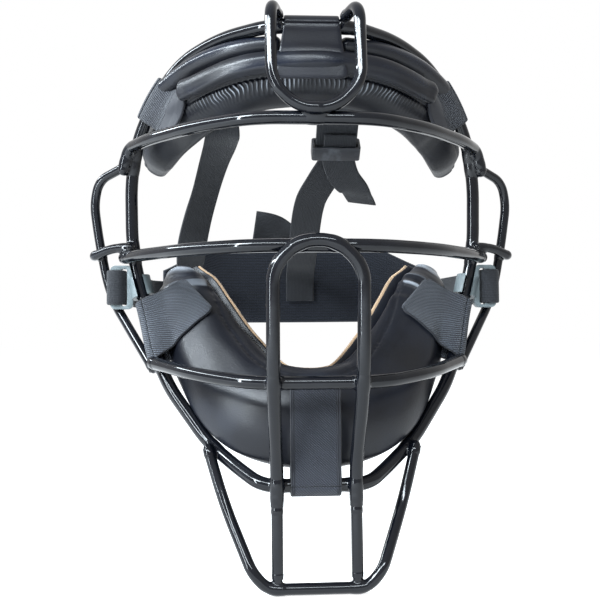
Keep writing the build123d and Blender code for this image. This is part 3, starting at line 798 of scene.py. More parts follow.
def joined(parts: Sequence[MeshData]) -> MeshData:
    """Put several meshes into one.

    Args:
        parts: The meshes, whose points carry the same values.

    Returns:
        The one mesh.
    """
    points, faces, start = [], [], 0
    for part in parts:
        points.append(part.points)
        faces += [tuple(corner + start for corner in face) for face in part.faces]
        start += len(part.points)
    keys = parts[0].values
    values = {key: np.concatenate([part.values[key] for part in parts]) for key in keys}
    return MeshData(np.concatenate(points), faces, values)


def tube_faces(rings: int, around: int) -> list[tuple[int, ...]]:
    """Give the faces between the rings of a tube.

    Args:
        rings: Count of the rings.
        around: Points of each ring.

    Returns:
        Faces of four corners.
    """
    faces: list[tuple[int, ...]] = []
    for ring in range(rings - 1):
        low, high = ring * around, (ring + 1) * around
        for spot in range(around):
            after = (spot + 1) % around
            faces.append((low + spot, low + after, high + after, high + spot))
    return faces


def square_to(ways: Array, heading: Array) -> Array:
    """Turn directions square to a heading."""
    return unit(ways - heading * (ways * heading).sum(1, keepdims=True))


def sheet_lines(length: float, edge: float, step: float) -> Array:
    """Place lines over a sheet's length, close together where its edges are rounded.

    Args:
        length: Length of the sheet.
        edge: Width of the rounded edge.
        step: Step to come near to between the edges.

    Returns:
        Places of the lines.
    """
    close = edge * np.array(EDGE_SHARES)
    count = max(2, int(round((length - 2 * edge) / step)) + 1)
    inner = np.linspace(edge, length - edge, count)[1:-1]
    return np.concatenate([close, inner, length - close[::-1]])


def laid(line: Array, edge: float, step: float) -> tuple[Array, Array]:
    """Place a sheet's lines along a bent line.

    Args:
        line: Points of the bent line.
        edge: Width of the sheet's rounded edge.
        step: Step to come near to between its edges.

    Returns:
        How far along the lines are, and where.
    """
    marks = lengths_along(line)
    along = sheet_lines(marks[-1], edge, step)
    return along, read_at(line, marks, along)


def surface_normals(grid: Array) -> Array:
    """Give the normals of a grid of points, along the first axis crossed with the second."""
    return unit(np.cross(np.gradient(grid, axis=0), np.gradient(grid, axis=1)))


@dataclass
class Sheet:
    """A sheet of cloth or leather with rounded edges, on a grid over its middle surface."""

    grid: Array
    along: Array
    across: Array
    thickness: float
    edge: float = 1.0
    relief: Optional[Array] = None

    def mesh(self) -> MeshData:
        """Give the sheet its two faces.

        Returns:
            A closed mesh, whose first face looks along its normals.
        """
        rows, columns = len(self.along), len(self.across)
        along, across = np.meshgrid(self.along, self.across, indexing="ij")
        inset_along = np.minimum(along, self.along[-1] - along)
        inset_across = np.minimum(across, self.across[-1] - across)
        inset = np.minimum(inset_along, inset_across)
        share = (1 - inset / self.edge).clip(0.0, 1.0)
        half = self.thickness / 2 * np.sqrt(1 - share**2)
        normals = surface_normals(self.grid)
        raised = self.relief if self.relief is not None else np.zeros_like(half)
        lift = raised * (half > 0)
        top = self.grid + normals * (half + lift)[..., None]
        low = self.grid - normals * half[..., None]
        number = np.arange(rows * columns).reshape(rows, columns)
        under = number.copy()
        inner = (slice(1, -1), slice(1, -1))
        spare = np.arange((rows - 2) * (columns - 2)).reshape(rows - 2, columns - 2)
        under[inner] = rows * columns + spare
        points = np.concatenate([top.reshape(-1, 3), low[inner].reshape(-1, 3)])
        above = [number[:-1, :-1], number[1:, :-1], number[1:, 1:], number[:-1, 1:]]
        below = [under[:-1, :-1], under[:-1, 1:], under[1:, 1:], under[1:, :-1]]
        quads = np.stack([np.stack(above, -1), np.stack(below, -1)], axis=2)
        faces = [tuple(face) for face in quads.reshape(-1, 4).tolist()]
        place = np.stack([along, across, inset_across], axis=-1)
        places = np.concatenate([place.reshape(-1, 3), place[inner].reshape(-1, 3)])
        crease = np.concatenate([raised.reshape(-1), raised[inner].reshape(-1) * 0])
        return MeshData(points, faces, {CLOTH_PLACE: places, CREASE: crease})


@dataclass
class Ribbon:
    """A strap of webbing; each row is a place and the way that its face looks there."""

    rows: Sequence[Sequence[float]]
    width: float
    thickness: float = STRAP_THICKNESS
    step: float = 2.2
    side_step: float = 1.9
    end_edge: float = 1.2
    side_edge: float = 1.0
    curl: float = 0.35
    curl_length: float = 26.0
    seed: int = 1

    def sheet(self) -> Sheet:
        """Lay the webbing along its rows.

        Returns:
            The strap's sheet.
        """
        places, facings = np.split(np.array(self.rows, float), 2, axis=1)
        facings = unit(facings)
        marks = lengths_along(places)
        along = sheet_lines(marks[-1], self.end_edge, self.step)
        across = sheet_lines(self.width, self.side_edge, self.side_step)
        middle = through(places, marks, along)
        facing = unit(through(facings, marks, along))
        heading = unit(np.gradient(middle, along, axis=0))
        facing = square_to(facing, heading)
        side = np.cross(facing, heading)
        reach = across - self.width / 2
        cup = (reach / (self.width / 2)) ** 2
        wave = swell(along, self.curl_length, self.seed)[:, None] * cup[None, :] * self.curl
        grid = middle[:, None, :] + side[:, None, :] * reach[None, :, None]
        grid = grid + facing[:, None, :] * wave[..., None]
        return Sheet(grid, along, across, self.thickness)


# ---- repeats by geometry nodes


class DippedWires:
    """The node tree of the dipped wires, and the meshes that it gives along their lines."""

    sides: int = 20
    wave_scale: float = 62.0

    @classmethod
    def tree(cls) -> bpy.types.NodeTree:
        """Draw a round wire along a line and dip it in a wavy coating.

        Returns:
            The tree.
        """
        found = bpy.data.node_groups.get("coated_wire")
        if found:
            return found
        tree = bpy.data.node_groups.new("coated_wire", "GeometryNodeTree")
        names = ("Geometry", "Diameter", "Wave", "Seed", "Coating")
        for label, kind in zip(names, ("Geometry", "Float", "Float", "Float", "Material")):
            tree.interface.new_socket(label, in_out="INPUT", socket_type=f"NodeSocket{kind}")
        tree.interface.new_socket("Geometry", in_out="OUTPUT", socket_type="NodeSocketGeometry")
        graph = Graph(tree)
        source = graph.node("NodeGroupInput")
        line, diameter, wave, seed, coating = (Flow(graph, s) for s in source.outputs[:5])
        size = {"Resolution": cls.sides, "Radius": diameter * 0.5}
        profile = graph.flow("GeometryNodeCurvePrimitiveCircle", None, size)
        run = {"Curve": line, "Profile Curve": profile, "Fill Caps": True}
        tube = graph.flow("GeometryNodeCurveToMesh", None, run)
        place = graph.flow("GeometryNodeInputPosition")
        swirl = {"Vector": place, "W": seed, "Scale": cls.wave_scale, "Detail": 1.0}
        noise = graph.flow("ShaderNodeTexNoise", {"noise_dimensions": "4D"}, swirl)
        normal = graph.flow("GeometryNodeInputNormal")
        reach = {0: normal, "Scale": (noise - 0.5) * 2.0 * wave}
        push = graph.flow("ShaderNodeVectorMath", {"operation": "SCALE"}, reach)
        dipped = graph.flow("GeometryNodeSetPosition", None, {"Geometry": tube, "Offset": push})
        smooth = graph.flow("GeometryNodeSetShadeSmooth", None, {0: dipped})
        real = graph.flow("GeometryNodeRealizeInstances", None, {0: smooth})
        coat = {"Geometry": real, "Material": coating}
        graph.node("NodeGroupOutput", None, {0: graph.flow("GeometryNodeSetMaterial", None, coat)})
        return tree

    @classmethod
    def along(
        cls, name: str, points: Array, values: dict[str, object], cyclic: bool
    ) -> bpy.types.Object:
        """Run the tree along a line and keep the plain mesh.

        Args:
            name: Name of the piece.
            points: Points of the line.
            values: Values of the tree's named inputs.
            cyclic: True where the line is closed.

        Returns:
            The piece, a mesh at the origin with no modifier.
        """
        tree = cls.tree()
        curve = bpy.data.curves.new(name + "_line", "CURVE")
        curve.dimensions = "3D"
        spline = curve.splines.new("POLY")
        spline.points.add(len(points) - 1)
        placed = np.concatenate([points * METRE, np.ones((len(points), 1))], axis=1)
        spline.points.foreach_set("co", placed.astype(np.float32).ravel())
        spline.use_cyclic_u = cyclic
        carrier = linked(name + "_line", curve)
        modifier = carrier.modifiers.new("grown", "NODES")
        modifier.node_group = tree
        for item in tree.interface.items_tree:
            if item.item_type == "SOCKET" and item.in_out == "INPUT" and item.name in values:
                modifier[item.identifier] = values[item.name]
        return linked(name, baked(carrier, name))


# ---- the wire cage


@dataclass
class Wire:
    """One wire of the cage, bent at its corners and dipped."""

    node: str
    corners: Sequence[Sequence[float]]
    diameter: float
    mirrored: bool = True
    closed: bool = False
    double_first: bool = False
    bend_share: float = 0.45
    wave: float = 0.06

    def rounded(self) -> Array:
        """Bend the corners as far as the runs beside them allow.

        Returns:
            Points of the bent run.
        """
        corners = np.array(self.corners, float)
        out = [corners[0]]
        for place in range(1, len(corners) - 1):
            come = corners[place] - corners[place - 1]
            leave = corners[place + 1] - corners[place]
            room_in = np.linalg.norm(come) * (2 if self.double_first and place == 1 else 1)
            room = self.bend_share * min(room_in, np.linalg.norm(leave))
            come, leave = unit(come), unit(leave)
            turn = math.acos(float(np.clip(come @ leave, -1, 1)))
            radius = room / math.tan(turn / 2)
            inward = unit(leave - come * (come @ leave))
            start = corners[place] - come * room
            angles = np.linspace(0, turn, max(4, int(radius * turn / 1.0)))[:, None]
            out += list(
                start + radius * (np.sin(angles) * come + (1 - np.cos(angles)) * inward)
            )
        out.append(corners[-1])
        return np.array(out)

    def centreline(self, step: float = 1.2) -> Array:
        """Run along the middle of the whole wire.

        Args:
            step: Step to come near to between the points.

        Returns:
            Points of the wire, without the first one again where it is closed.
        """
        half = self.rounded()
        if self.mirrored:
            other = half[::-1] * MIRROR
            if self.closed:
                half = np.concatenate([half, other[1:-1], half[:1]])
            else:
                half = np.concatenate([other[:-1], half])
        points = spaced(half, step)
        return points[:-1] if self.closed else points

    def drawn(self, seed: int) -> None:
        """Draw the dipped wire and let it stand for its node.

        Args:
            seed: Seed of the coating's waves.
        """
        values = {
            "Diameter": self.diameter * METRE,
            "Wave": self.wave * METRE,
            "Seed": float(seed),
            "Coating": COATING.material(),
        }
        piece = DippedWires.along(self.node + "_dipped", self.centreline(), values, self.closed)
        dressed(piece, COATING, CAGE, self.node)


def mirrored_run(corners: Sequence[Sequence[float]], side: Side) -> list[list[float]]:
    """Put the corners of a right-hand wire on a side."""
    return [[side.value * x, y, z] for x, y, z in corners]


@dataclass
class WireCage:
    """Welded cage: hoop, cross bars, loops, throat frame and ear guards."""

    heavy: float = 7.0
    bar: float = 6.6
    light: float = 5.8
    ear: float = 5.2
    bead_reach: float = 4.4
    bead_swell: float = 0.42
    bead_taper: float = 1.6
    bead_sides: int = 14
    bead_cell: float = 0.5
    bead_smoothing: int = 22
    weld_gap: float = 0.9
    weld_apart: float = 16.0

    def wires(self) -> list[Wire]:
        """List the wires with the corners of their right halves.

        Returns:
            The wires.
        """
        hoop = [
            (0.0, -58.0, 137.0), (21.23, -58.0, 137.0), (46.32, -37.12, 137.0),
            (67.55, -16.82, 130.56), (82.99, -8.12, 112.34), (93.12, -2.9, 89.73),
            (96.98, 0.0, 67.13), (96.31, 0.0, 26.04), (86.46, -6.2, -9.3),
            (82.02, -14.88, -28.83), (74.5, -22.94, -46.03), (53.08, -37.82, -74.4),
            (37.63, -50.22, -86.03), (26.06, -62.0, -93.0), (0.0, -62.0, -93.0),
        ]
        brow = [
            (0.0, -84.0, 84.0), (30.0, -84.0, 84.0), (58.5, -62.16, 84.45),
            (84.83, -28.56, 85.2), (97.5, -5.0, 85.5), (100.8, -4.26, 73.0),
        ]
        eye = [
            (0.0, -84.0, 23.0), (30.0, -84.0, 23.0), (62.39, -62.16, 23.3),
            (86.53, -28.56, 24.05), (100.62, -2.92, 24.5),
        ]
        mouth = [
            (0.0, -80.0, -42.0), (30.0, -80.0, -42.0), (58.47, -59.2, -38.4),
            (83.52, -21.79, -33.0),
        ]
        loop = [
            (0.0, -89.8, 25.0), (8.86, -89.8, 25.0), (21.4, -89.8, 12.46),
            (21.4, -85.8, -42.0), (19.3, -68.0, -82.0), (19.3, -68.0, -102.0),
        ]
        visor = [
            (0.0, -87.82, 87.82), (8.9, -87.82, 87.82), (21.5, -87.82, 100.42),
            (21.5, -81.82, 141.0), (17.0, -61.96, 140.96),
        ]
        throat = [
            (0.0, -70.0, -141.0), (24.0, -70.0, -141.0), (31.5, -70.0, -133.0),
            (45.0, -52.0, -103.0), (53.27, -44.83, -76.0),
        ]
        post = [(19.3, -68.0, -101.2), (19.3, -70.0, -136.0)]
        ear = [
            (100.57, 0.22, 76.0), (116.08, 8.4, 69.5), (119.0, 10.5, 56.0),
            (116.3, 10.5, 36.0), (109.78, 8.4, 4.0), (83.28, -16.44, -37.0),
        ]
        stub = [
            (96.67, -5.64, 30.0), (107.0, -1.0, 30.0), (117.86, 4.88, 26.5),
            (118.76, 9.88, 26.5),
        ]
        listed = [
            Wire("hoop", hoop, self.heavy, closed=True),
            Wire("brow_bar", brow, self.bar),
            Wire("eye_bar", eye, self.bar),
            Wire("mouth_bar", mouth, self.bar),
            Wire("centre_loop", loop, self.bar, double_first=True),
            Wire("visor_loop", visor, self.light, double_first=True),
            Wire("throat_frame", throat, self.light, double_first=True),
        ]
        for side in Side:
            for name, run, size in (
                ("throat_post", post, self.light),
                ("ear_guard", ear, self.ear),
                ("ear_stub", stub, self.ear),
            ):
                corners = mirrored_run(run, side)
                listed.append(Wire(f"{name}_{side.word}", corners, size, mirrored=False))
        return listed

    def _tube(self, points: Array, radius: float) -> MeshData:
        """Draw a short closed tube, fullest in its middle, with domed ends.

        Args:
            points: Points along its middle.
            radius: Radius of the wire in it.

        Returns:
            The tube's mesh.
        """
        run = np.linspace(-1.0, 1.0, len(points))
        full = radius + self.bead_swell * (1.0 - self.bead_taper * run**2)
        heading = unit(np.gradient(points, axis=0))
        side = unit(np.cross(heading, np.array([0.31, 0.52, 0.79])))
        other = np.cross(heading, side)
        dome = np.array([0.0, 0.45, 0.75, 0.93])
        rise = np.sqrt(1 - dome**2)
        spots = [(0, -share, out) for share, out in zip(dome[:0:-1], rise[:0:-1])]
        spots += [(place, 0.0, 1.0) for place in range(len(points))]
        spots += [(-1, share, out) for share, out in zip(dome[1:], rise[1:])]
        angles = (np.arange(self.bead_sides) * 2 * math.pi / self.bead_sides)[:, None]
        verts = []
        for place, share, out in spots:
            circle = np.cos(angles) * side[place] + np.sin(angles) * other[place]
            middle = points[place] + heading[place] * full[place] * share
            verts.append(middle + full[place] * out * circle)
        faces = tube_faces(len(spots), self.bead_sides)
        last = (len(spots) - 1) * self.bead_sides
        faces.append(tuple(range(self.bead_sides - 1, -1, -1)))
        faces.append(tuple(range(last, last + self.bead_sides)))
        return MeshData(np.concatenate(verts), faces)

    def _joints(self, lines: dict[str, Array], sizes: dict[str, float]) -> list[MeshData]:
        """Draw the two short lengths that each weld joins.

        Args:
            lines: Middle line of each wire.
            sizes: Diameter of each wire.

        Returns:
            Short tubes, a pair for each weld.
        """
        names = list(lines)
        tubes = []
        for place, first in enumerate(names):
            for second in names[place + 1 :]:
                gaps = np.linalg.norm(lines[first][:, None] - lines[second][None], axis=2)
                limit = (sizes[first] + sizes[second]) / 2 + self.weld_gap
                taken: list[Array] = []
                while gaps.min() < limit:
                    spot = np.unravel_index(gaps.argmin(), gaps.shape)
                    middle = (lines[first][spot[0]] + lines[second][spot[1]]) / 2
                    near = np.linalg.norm(lines[first] - middle, axis=1) < self.weld_apart
                    gaps[near, :] = math.inf
                    if any(np.linalg.norm(middle - other) < self.weld_apart for other in taken):
                        continue
                    taken.append(middle)
                    for name in (first, second):
                        away = np.linalg.norm(lines[name] - middle, axis=1)
                        stretch = lines[name][away < self.bead_reach + sizes[name] / 2]
                        if len(stretch) > 2:
                            tubes.append(self._tube(stretch, sizes[name] / 2))
        return tubes

    def build(self) -> None:
        """Draw the wires and run the coating together at their welds."""
        wires = self.wires()
        for seed, wire in enumerate(wires):
            wire.drawn(seed)
        lines = {wire.node: wire.centreline() for wire in wires}
        sizes = {wire.node: wire.diameter for wire in wires}
        tubes = self._joints(lines, sizes)
        rough = joined(tubes).made("weld_rough", COATING)
        remesh = rough.modifiers.new("run", "REMESH")
        remesh.mode = "VOXEL"
        remesh.voxel_size = self.bead_cell * METRE
        smooth = rough.modifiers.new("flow", "SMOOTH")
        smooth.factor = 0.5
        smooth.iterations = self.bead_smoothing
        mesh = baked(rough, "weld_runs")
        mesh.materials.clear()
        mesh.materials.append(COATING.material())
        mesh.shade_smooth()
        dressed(linked("weld_runs", mesh), COATING, CAGE)
        LOG.info("cage: %d wires, %d tubes at the welds", len(wires), len(tubes))


# ---- padded pieces


@dataclass
class Cushion:
    """A stuffed leather piece, lofted through sections and filled by a cloth simulation."""

    places: Array
    facings: Array
    sizes: Array
    width: float
    depth: float
    ridge: float = 0.0
    front: float = 0.0
    shift: float = 0.0
    inset: float = 1.1
    dome: float = 7.0
    around: int = 44
    step: float = 3.6
    fill: float = 4.0
    cap: float = 2.6
    hold_back: bool = False
    back_share: float = 0.72
    shoulder: float = 0.46
    side_bulge: float = 0.16
    crown_bulge: float = 0.14
    softening: int = 2
    easing: int = 4
    side_points: int = 24
    held_depth: float = 1.5
    fill_frames: int = 20
    dome_steps: tuple[float, ...] = (0.25, 0.5, 0.7, 0.86, 0.96)

    def _outline(self, size: float) -> Array:
        """Draw the closed section of the cover.

        Args:
            size: Share of the full size.

        Returns:
            Depth and place across of each point.
        """
        scaled = size if self.front == 0.0 else 1.0
        half = size * self.width / 2 - self.inset
        back = self.front * size + self.inset * 0.5
        crown = self.front * size + self.depth * scaled - self.inset
        shoulder = back + self.shoulder * (crown - back)
        middle = self.shift * size
        deeps = (back, back, shoulder, crown, shoulder)
        outs = (-self.back_share, self.back_share, 1.0, self.ridge, -1.0)
        corners = np.array([(deep, middle + out * half) for deep, out in zip(deeps, outs)])
        bulges = [0.0, self.side_bulge, self.crown_bulge, self.crown_bulge, self.side_bulge]
        points = []
        for place, bulge in enumerate(bulges):
            start, end = corners[place], corners[(place + 1) % 5]
            chord = end - start
            left = np.array([-chord[1], chord[0]])
            share = np.linspace(0, 1, self.side_points, endpoint=False)[:, None]
            points.append(start + share * chord + 4 * bulge * share * (1 - share) * left)
        ring = np.concatenate(points)
        closed = np.concatenate([ring, ring[:1]])
        steps = lengths_along(closed)
        marks = np.linspace(0, steps[-1], self.around, endpoint=False)
        even = read_at(closed, steps, marks)
        for _turn in range(self.softening):
            even = (np.roll(even, 1, 0) + 2 * even + np.roll(even, -1, 0)) / 4
        return even

    def loft(self) -> tuple[Array, Array, Array, Array]:
        """Loft the sections, with a dome on each end.

        Returns:
            Points by length and round, and how far along, deep and across each one is.
        """
        marks = lengths_along(self.places)
        count = int(marks[-1] / self.step) + 1
        lengths = np.linspace(0, marks[-1], count)
        middle = through(self.places, marks, lengths)
        facing = through(self.facings, marks, lengths)
        size = through(self.sizes[:, None], marks, lengths)[:, 0]
        heading = unit(np.gradient(middle, lengths, axis=0))
        angles = np.array(self.dome_steps) * math.pi / 2
        scale = np.ones(count)
        for end, sign in ((0, -1.0), (-1, 1.0)):
            reach = np.sin(angles) * self.dome * size[end]
            extra = middle[end] + sign * reach[:, None] * heading[end]
            parts = (
                (middle, extra),
                (facing, np.repeat(facing[[end]], len(angles), 0)),
                (heading, np.repeat(heading[[end]], len(angles), 0)),
                (size, np.repeat(size[[end]], len(angles))),
                (scale, np.cos(angles)),
                (lengths, lengths[end] + sign * reach),
            )
            grown = [
                np.concatenate([new[::-1], old]) if end == 0 else np.concatenate([old, new])
                for old, new in parts
            ]
            middle, facing, heading, size, scale, lengths = grown
        depth_way = square_to(facing, heading)
        across_way = np.cross(heading, depth_way)
        rings, deep, across = [], [], []
        for row, share in enumerate(scale):
            ring = self._outline(size[row])
            core = np.array([ring[:, 0].mean(), ring[:, 1].mean()])
            ring = core + (ring - core) * share
            reach = ring[:, :1] * depth_way[row] + ring[:, 1:] * across_way[row]
            rings.append(middle[row] + reach)
            deep.append(ring[:, 0])
            across.append(ring[:, 1])
        along = np.repeat(lengths[:, None], self.around, 1)
        return np.array(rings), along, np.array(deep), np.array(across)

    @staticmethod
    def _closed(rings: Array) -> tuple[Array, list[tuple[int, ...]]]:
        """Close a tube of rings with a point at each end.

        Args:
            rings: Points by ring and round it.

        Returns:
            The tube's points and faces.
        """
        rows, around = rings.shape[:2]
        points = np.concatenate([rings.reshape(-1, 3), [rings[0].mean(0)], [rings[-1].mean(0)]])
        faces = tube_faces(rows, around)
        first, last = rows * around, rows * around + 1
        end = (rows - 1) * around
        for spot in range(around):
            after = (spot + 1) % around
            faces.append((first, after, spot))
            faces.append((last, end + spot, end + after))
        return points, faces

    def filled(self, rings: Array, deep: Array) -> Array:
        """Blow the cover up against its seams, as the foam does.

        Args:
            rings: Points of the slack cover.
            deep: Depth of each point.

        Returns:
            Points of the full cover, none of them moved further than the cap.
        """
        points, faces = self._closed(rings)
        slack = MeshData(points, faces).made("slack_cover", LEATHER)
        held = slack.vertex_groups.new(name="held")
        around = rings.shape[1]
        low = deep.min(axis=1, keepdims=True)
        back = np.flatnonzero((deep < low + self.held_depth).ravel() & self.hold_back)
        held.add(back.tolist(), 1.0, "REPLACE")
        cloth = slack.modifiers.new("fill", "CLOTH")
        settings = cloth.settings
        settings.use_pressure = True
        settings.uniform_pressure_force = self.fill
        settings.effector_weights.gravity = 0.0
        settings.quality = 6
        settings.mass = 0.2
        settings.vertex_group_mass = "held"
        cloth.collision_settings.use_collision = False
        cloth.collision_settings.use_self_collision = False
        scene = bpy.context.scene
        for frame in range(1, self.fill_frames + 1):
            scene.frame_set(frame)
        depsgraph = bpy.context.evaluated_depsgraph_get()
        mesh = slack.evaluated_get(depsgraph).to_mesh()
        moved = np.empty(len(mesh.vertices) * 3)
        mesh.vertices.foreach_get("co", moved)
        moved = moved.reshape(-1, 3) / METRE
        scene.frame_set(1)
        bpy.data.objects.remove(slack)
        shift = moved - points
        far = np.linalg.norm(shift, axis=1, keepdims=True)
        LOG.info("cover moved by %.2f mm at most", float(far.max()))
        shift *= np.minimum(1.0, self.cap / np.maximum(far, 1e-9))
        eased = shift[: rings.shape[0] * around].reshape(rings.shape)
        for _turn in range(self.easing):
            rows = np.concatenate([eased[:1], eased, eased[-1:]])
            eased = (rows[:-2] + 2 * eased + rows[2:]) / 4
            eased = (np.roll(eased, 1, 1) + 2 * eased + np.roll(eased, -1, 1)) / 4
        return rings + eased

    @staticmethod
    def _finer(values: Array, times: int, axis: int, wrap: bool) -> Array:
        """Put more rows between those of an array, on a smooth curve.

        Args:
            values: The array.
            times: How many rows come of each one.
            axis: Axis of the rows.
            wrap: True where the last row meets the first.

        Returns:
            The finer array.
        """
        moved = np.moveaxis(values, axis, 0)
        first, last = (moved[-1:], moved[:2]) if wrap else (moved[:1], moved[-1:])
        padded = np.concatenate([first, moved, last])
        out = []
        for place in range(1, len(padded) - 2):
            before, start, end, after = padded[place - 1 : place + 3]
            for share in np.arange(times) / times:
                line = 2 * start + (end - before) * share
                bend = (2 * before - 5 * start + 4 * end - after) * share**2
                twist = (3 * start - before - 3 * end + after) * share**3
                out.append(0.5 * (line + bend + twist))
        if not wrap:
            out.append(padded[-2])
        return np.moveaxis(np.array(out), 0, axis)

    def cover(
        self, creases: Callable[[Array, Array, Array], Array], along_times: int, round_times: int
    ) -> MeshData:
        """Make the finished cover.

        Args:
            creases: Gives how far each point stands out, from its place along, deep and across.
            along_times: How much finer the cover is along its length.
            round_times: How much finer it is round it.

        Returns:
            The cover's mesh.
        """
        rings, along, deep, across = self.loft()
        rings = self.filled(rings, deep)
        layers = np.concatenate([rings, np.stack([along, deep, across], -1)], axis=-1)
        fine = self._finer(layers, along_times, 0, wrap=False)
        fine = self._finer(fine, round_times, 1, wrap=True)
        rings, lift = fine[..., :3], creases(*np.moveaxis(fine[..., 3:], -1, 0))
        rings = rings + self._outward(rings) * lift[..., None]
        points, faces = self._closed(rings)
        crease = np.concatenate([lift.reshape(-1), [0.0, 0.0]])
        return MeshData(points, faces, {CREASE: crease})

    @staticmethod
    def _outward(rings: Array) -> Array:
        """Give the outward normals of a tube.

        Args:
            rings: Points by ring and round it.

        Returns:
            A normal at each point.
        """
        along = np.gradient(rings, axis=0)
        around = np.roll(rings, -1, 1) - np.roll(rings, 1, 1)
        normals = unit(np.cross(around, along))
        away = rings - rings.mean(axis=1, keepdims=True)
        if (normals * away).sum() < 0:
            normals = -normals
        return normals


def bell(values: Array, middle: float, spread: float) -> Array:
    """Give a soft bump round a value."""
    return np.exp(-(((values - middle) / spread) ** 2))


def ramp(values: Array, low: float, high: float) -> Array:
    """Run smoothly from 0 at low to 1 at high, which may be the lower of the two."""
    share = ((values - low) / (high - low)).clip(0.0, 1.0)
    return share * share * (3 - 2 * share)


def both_halves(outs: Sequence[float], backs: Sequence[float], ups: Sequence[float]) -> Array:
    """Join the places of the right half to their mirror images, left tip first."""
    right = np.array(list(zip(outs, backs, ups)), float)
    return np.concatenate([right[:0:-1] * MIRROR, right])


def both_sizes(sizes: Sequence[float]) -> Array:
    """Join the sizes of the right half to those of the left."""
    return np.array([*list(sizes)[:0:-1], *sizes], float)


@dataclass
class ForeheadPad:
    """Forehead pad: gathered cushion, smooth front panel and a roll each side of the middle."""

    outs: tuple[float, ...] = (0.0, 27.0, 50.0, 67.0, 76.5, 80.5)
    backs: tuple[float, ...] = (-35.0, -30.0, -14.0, 7.0, 21.0, 28.0)
    ups: tuple[float, ...] = (115.0, 113.5, 107.0, 97.0, 88.0, 82.5)
    sizes: tuple[float, ...] = (1.0, 1.03, 1.06, 0.96, 0.90, 0.66)
    width: float = 31.0
    depth: float = 23.0
    head_back: float = 70.0
    gather_pitch: float = 1.9
    gather_depth: float = 0.72
    gather_fade: tuple[float, float] = (66.0, 34.0)
    seam_across: float = 2.6
    small: dict = field(default_factory=lambda: {"dome": 4.0, "around": 28, "fill": 2.0})
    roll_outs: tuple[float, ...] = (13.5, 27.0, 40.0, 50.0, 59.0)
    roll_backs: tuple[float, ...] = (-33.4, -29.5, -21.3, -13.5, -4.5)
    roll_ups: tuple[float, ...] = (113.2, 112.8, 111.2, 108.2, 103.6)

    def _facings(self, places: Array) -> Array:
        """Give the way that the pad faces at each place."""
        backs = places[:, 1] - self.head_back
        return np.stack([places[:, 0], backs, np.zeros(len(places))], axis=1)

    def _gathers(self, along: Array, deep: Array, across: Array) -> Array:
        """Pull the cushion into gathers below the panel's seam, and crease its ends.

        Args:
            along: Place of each point along the cushion.
            deep: Its depth.
            across: Its place across.

        Returns:
            How far each point stands out.
        """
        slant = along + swell(along, 9.0, 5) * 0.9 + swell(across + along * 0.3, 4.0, 9) * 0.7
        depth = 0.75 + 0.35 * swell(along + across * 0.4, 4.0, 4)
        fold = np.sin(2 * math.pi * slant / self.gather_pitch) * depth
        front = ramp(deep, 9.0, 15.0)
        below = ramp(across, 2.0, 3.6) * ramp(across, 12.5, 5.0)
        off = np.abs(along - (along.max() + along.min()) / 2)
        strong = ramp(off, *self.gather_fade) * (0.75 + 0.25 * swell(along, 24.0, 8))
        gathered = self.gather_depth * fold * front * below * strong
        seam = -0.9 * bell(across, self.seam_across, 0.9) * front
        back_seam = -0.7 * bell(across, 0.0, 0.8) * ramp(deep, 2.0, 0.4)
        soft = 0.22 * swell(along + across * 0.8, 11.0, 21) * swell(across - along, 9.0, 22)
        return gathered + seam + back_seam + soft

    @staticmethod
    def _pulls(along: Array, _deep: Array, across: Array) -> Array:
        """Pull the panel lightly, with long soft folds along it."""
        long_fold = 0.35 * swell(across + along * 0.05, 3.2, 31)
        return long_fold + 0.25 * swell(along - across * 0.6, 8.0, 32)

    def build(self) -> bpy.types.Object:
        """Make the cushion, its panel and its rolls.

        Returns:
            The cushion.
        """
        places = both_halves(self.outs, self.backs, self.ups)
        facings, sizes = self._facings(places), both_sizes(self.sizes)
        cushion = Cushion(places, facings, sizes, self.width, self.depth, ridge=0.05)
        pad = cushion.cover(self._gathers, 9, 3).made("forehead_cushion", LEATHER)
        dressed(pad, LEATHER, CAGE, "brow_cushion", "brow_foam", fill=0.7)
        panel = Cushion(
            places[3:-3], facings[3:-3], sizes[3:-3], 13.0, 4.5, ridge=0.05, front=23.4,
            shift=-3.5, inset=0.3, step=3.0, cap=0.8, **self.small,
        )
        piece = panel.cover(self._pulls, 3, 2).made("forehead_panel", SMOOTH_LEATHER)
        dressed(piece, LEATHER, CAGE, "brow_panel", fill=0.5)
        for side in Side:
            self._roll(side)
        return pad

    def _roll(self, side: Side) -> None:
        """Make the roll of one side.

        Args:
            side: The side.
        """
        places = np.array(list(zip(self.roll_outs, self.roll_backs, self.roll_ups)), float)
        places[:, 0] *= side.value
        if side is Side.LEFT:
            places = places[::-1]
        roll = Cushion(
            places, self._facings(places), np.ones(len(places)), 11.5, 7.6, ridge=-0.1,
            front=16.0, shift=-15.4, inset=0.2, step=2.4, cap=0.7, **self.small,
        )
        piece = roll.cover(self._pulls, 3, 2).made(f"forehead_roll_{side.word}", SMOOTH_LEATHER)
        dressed(piece, LEATHER, CAGE, f"brow_roll_{side.word}", fill=0.8)


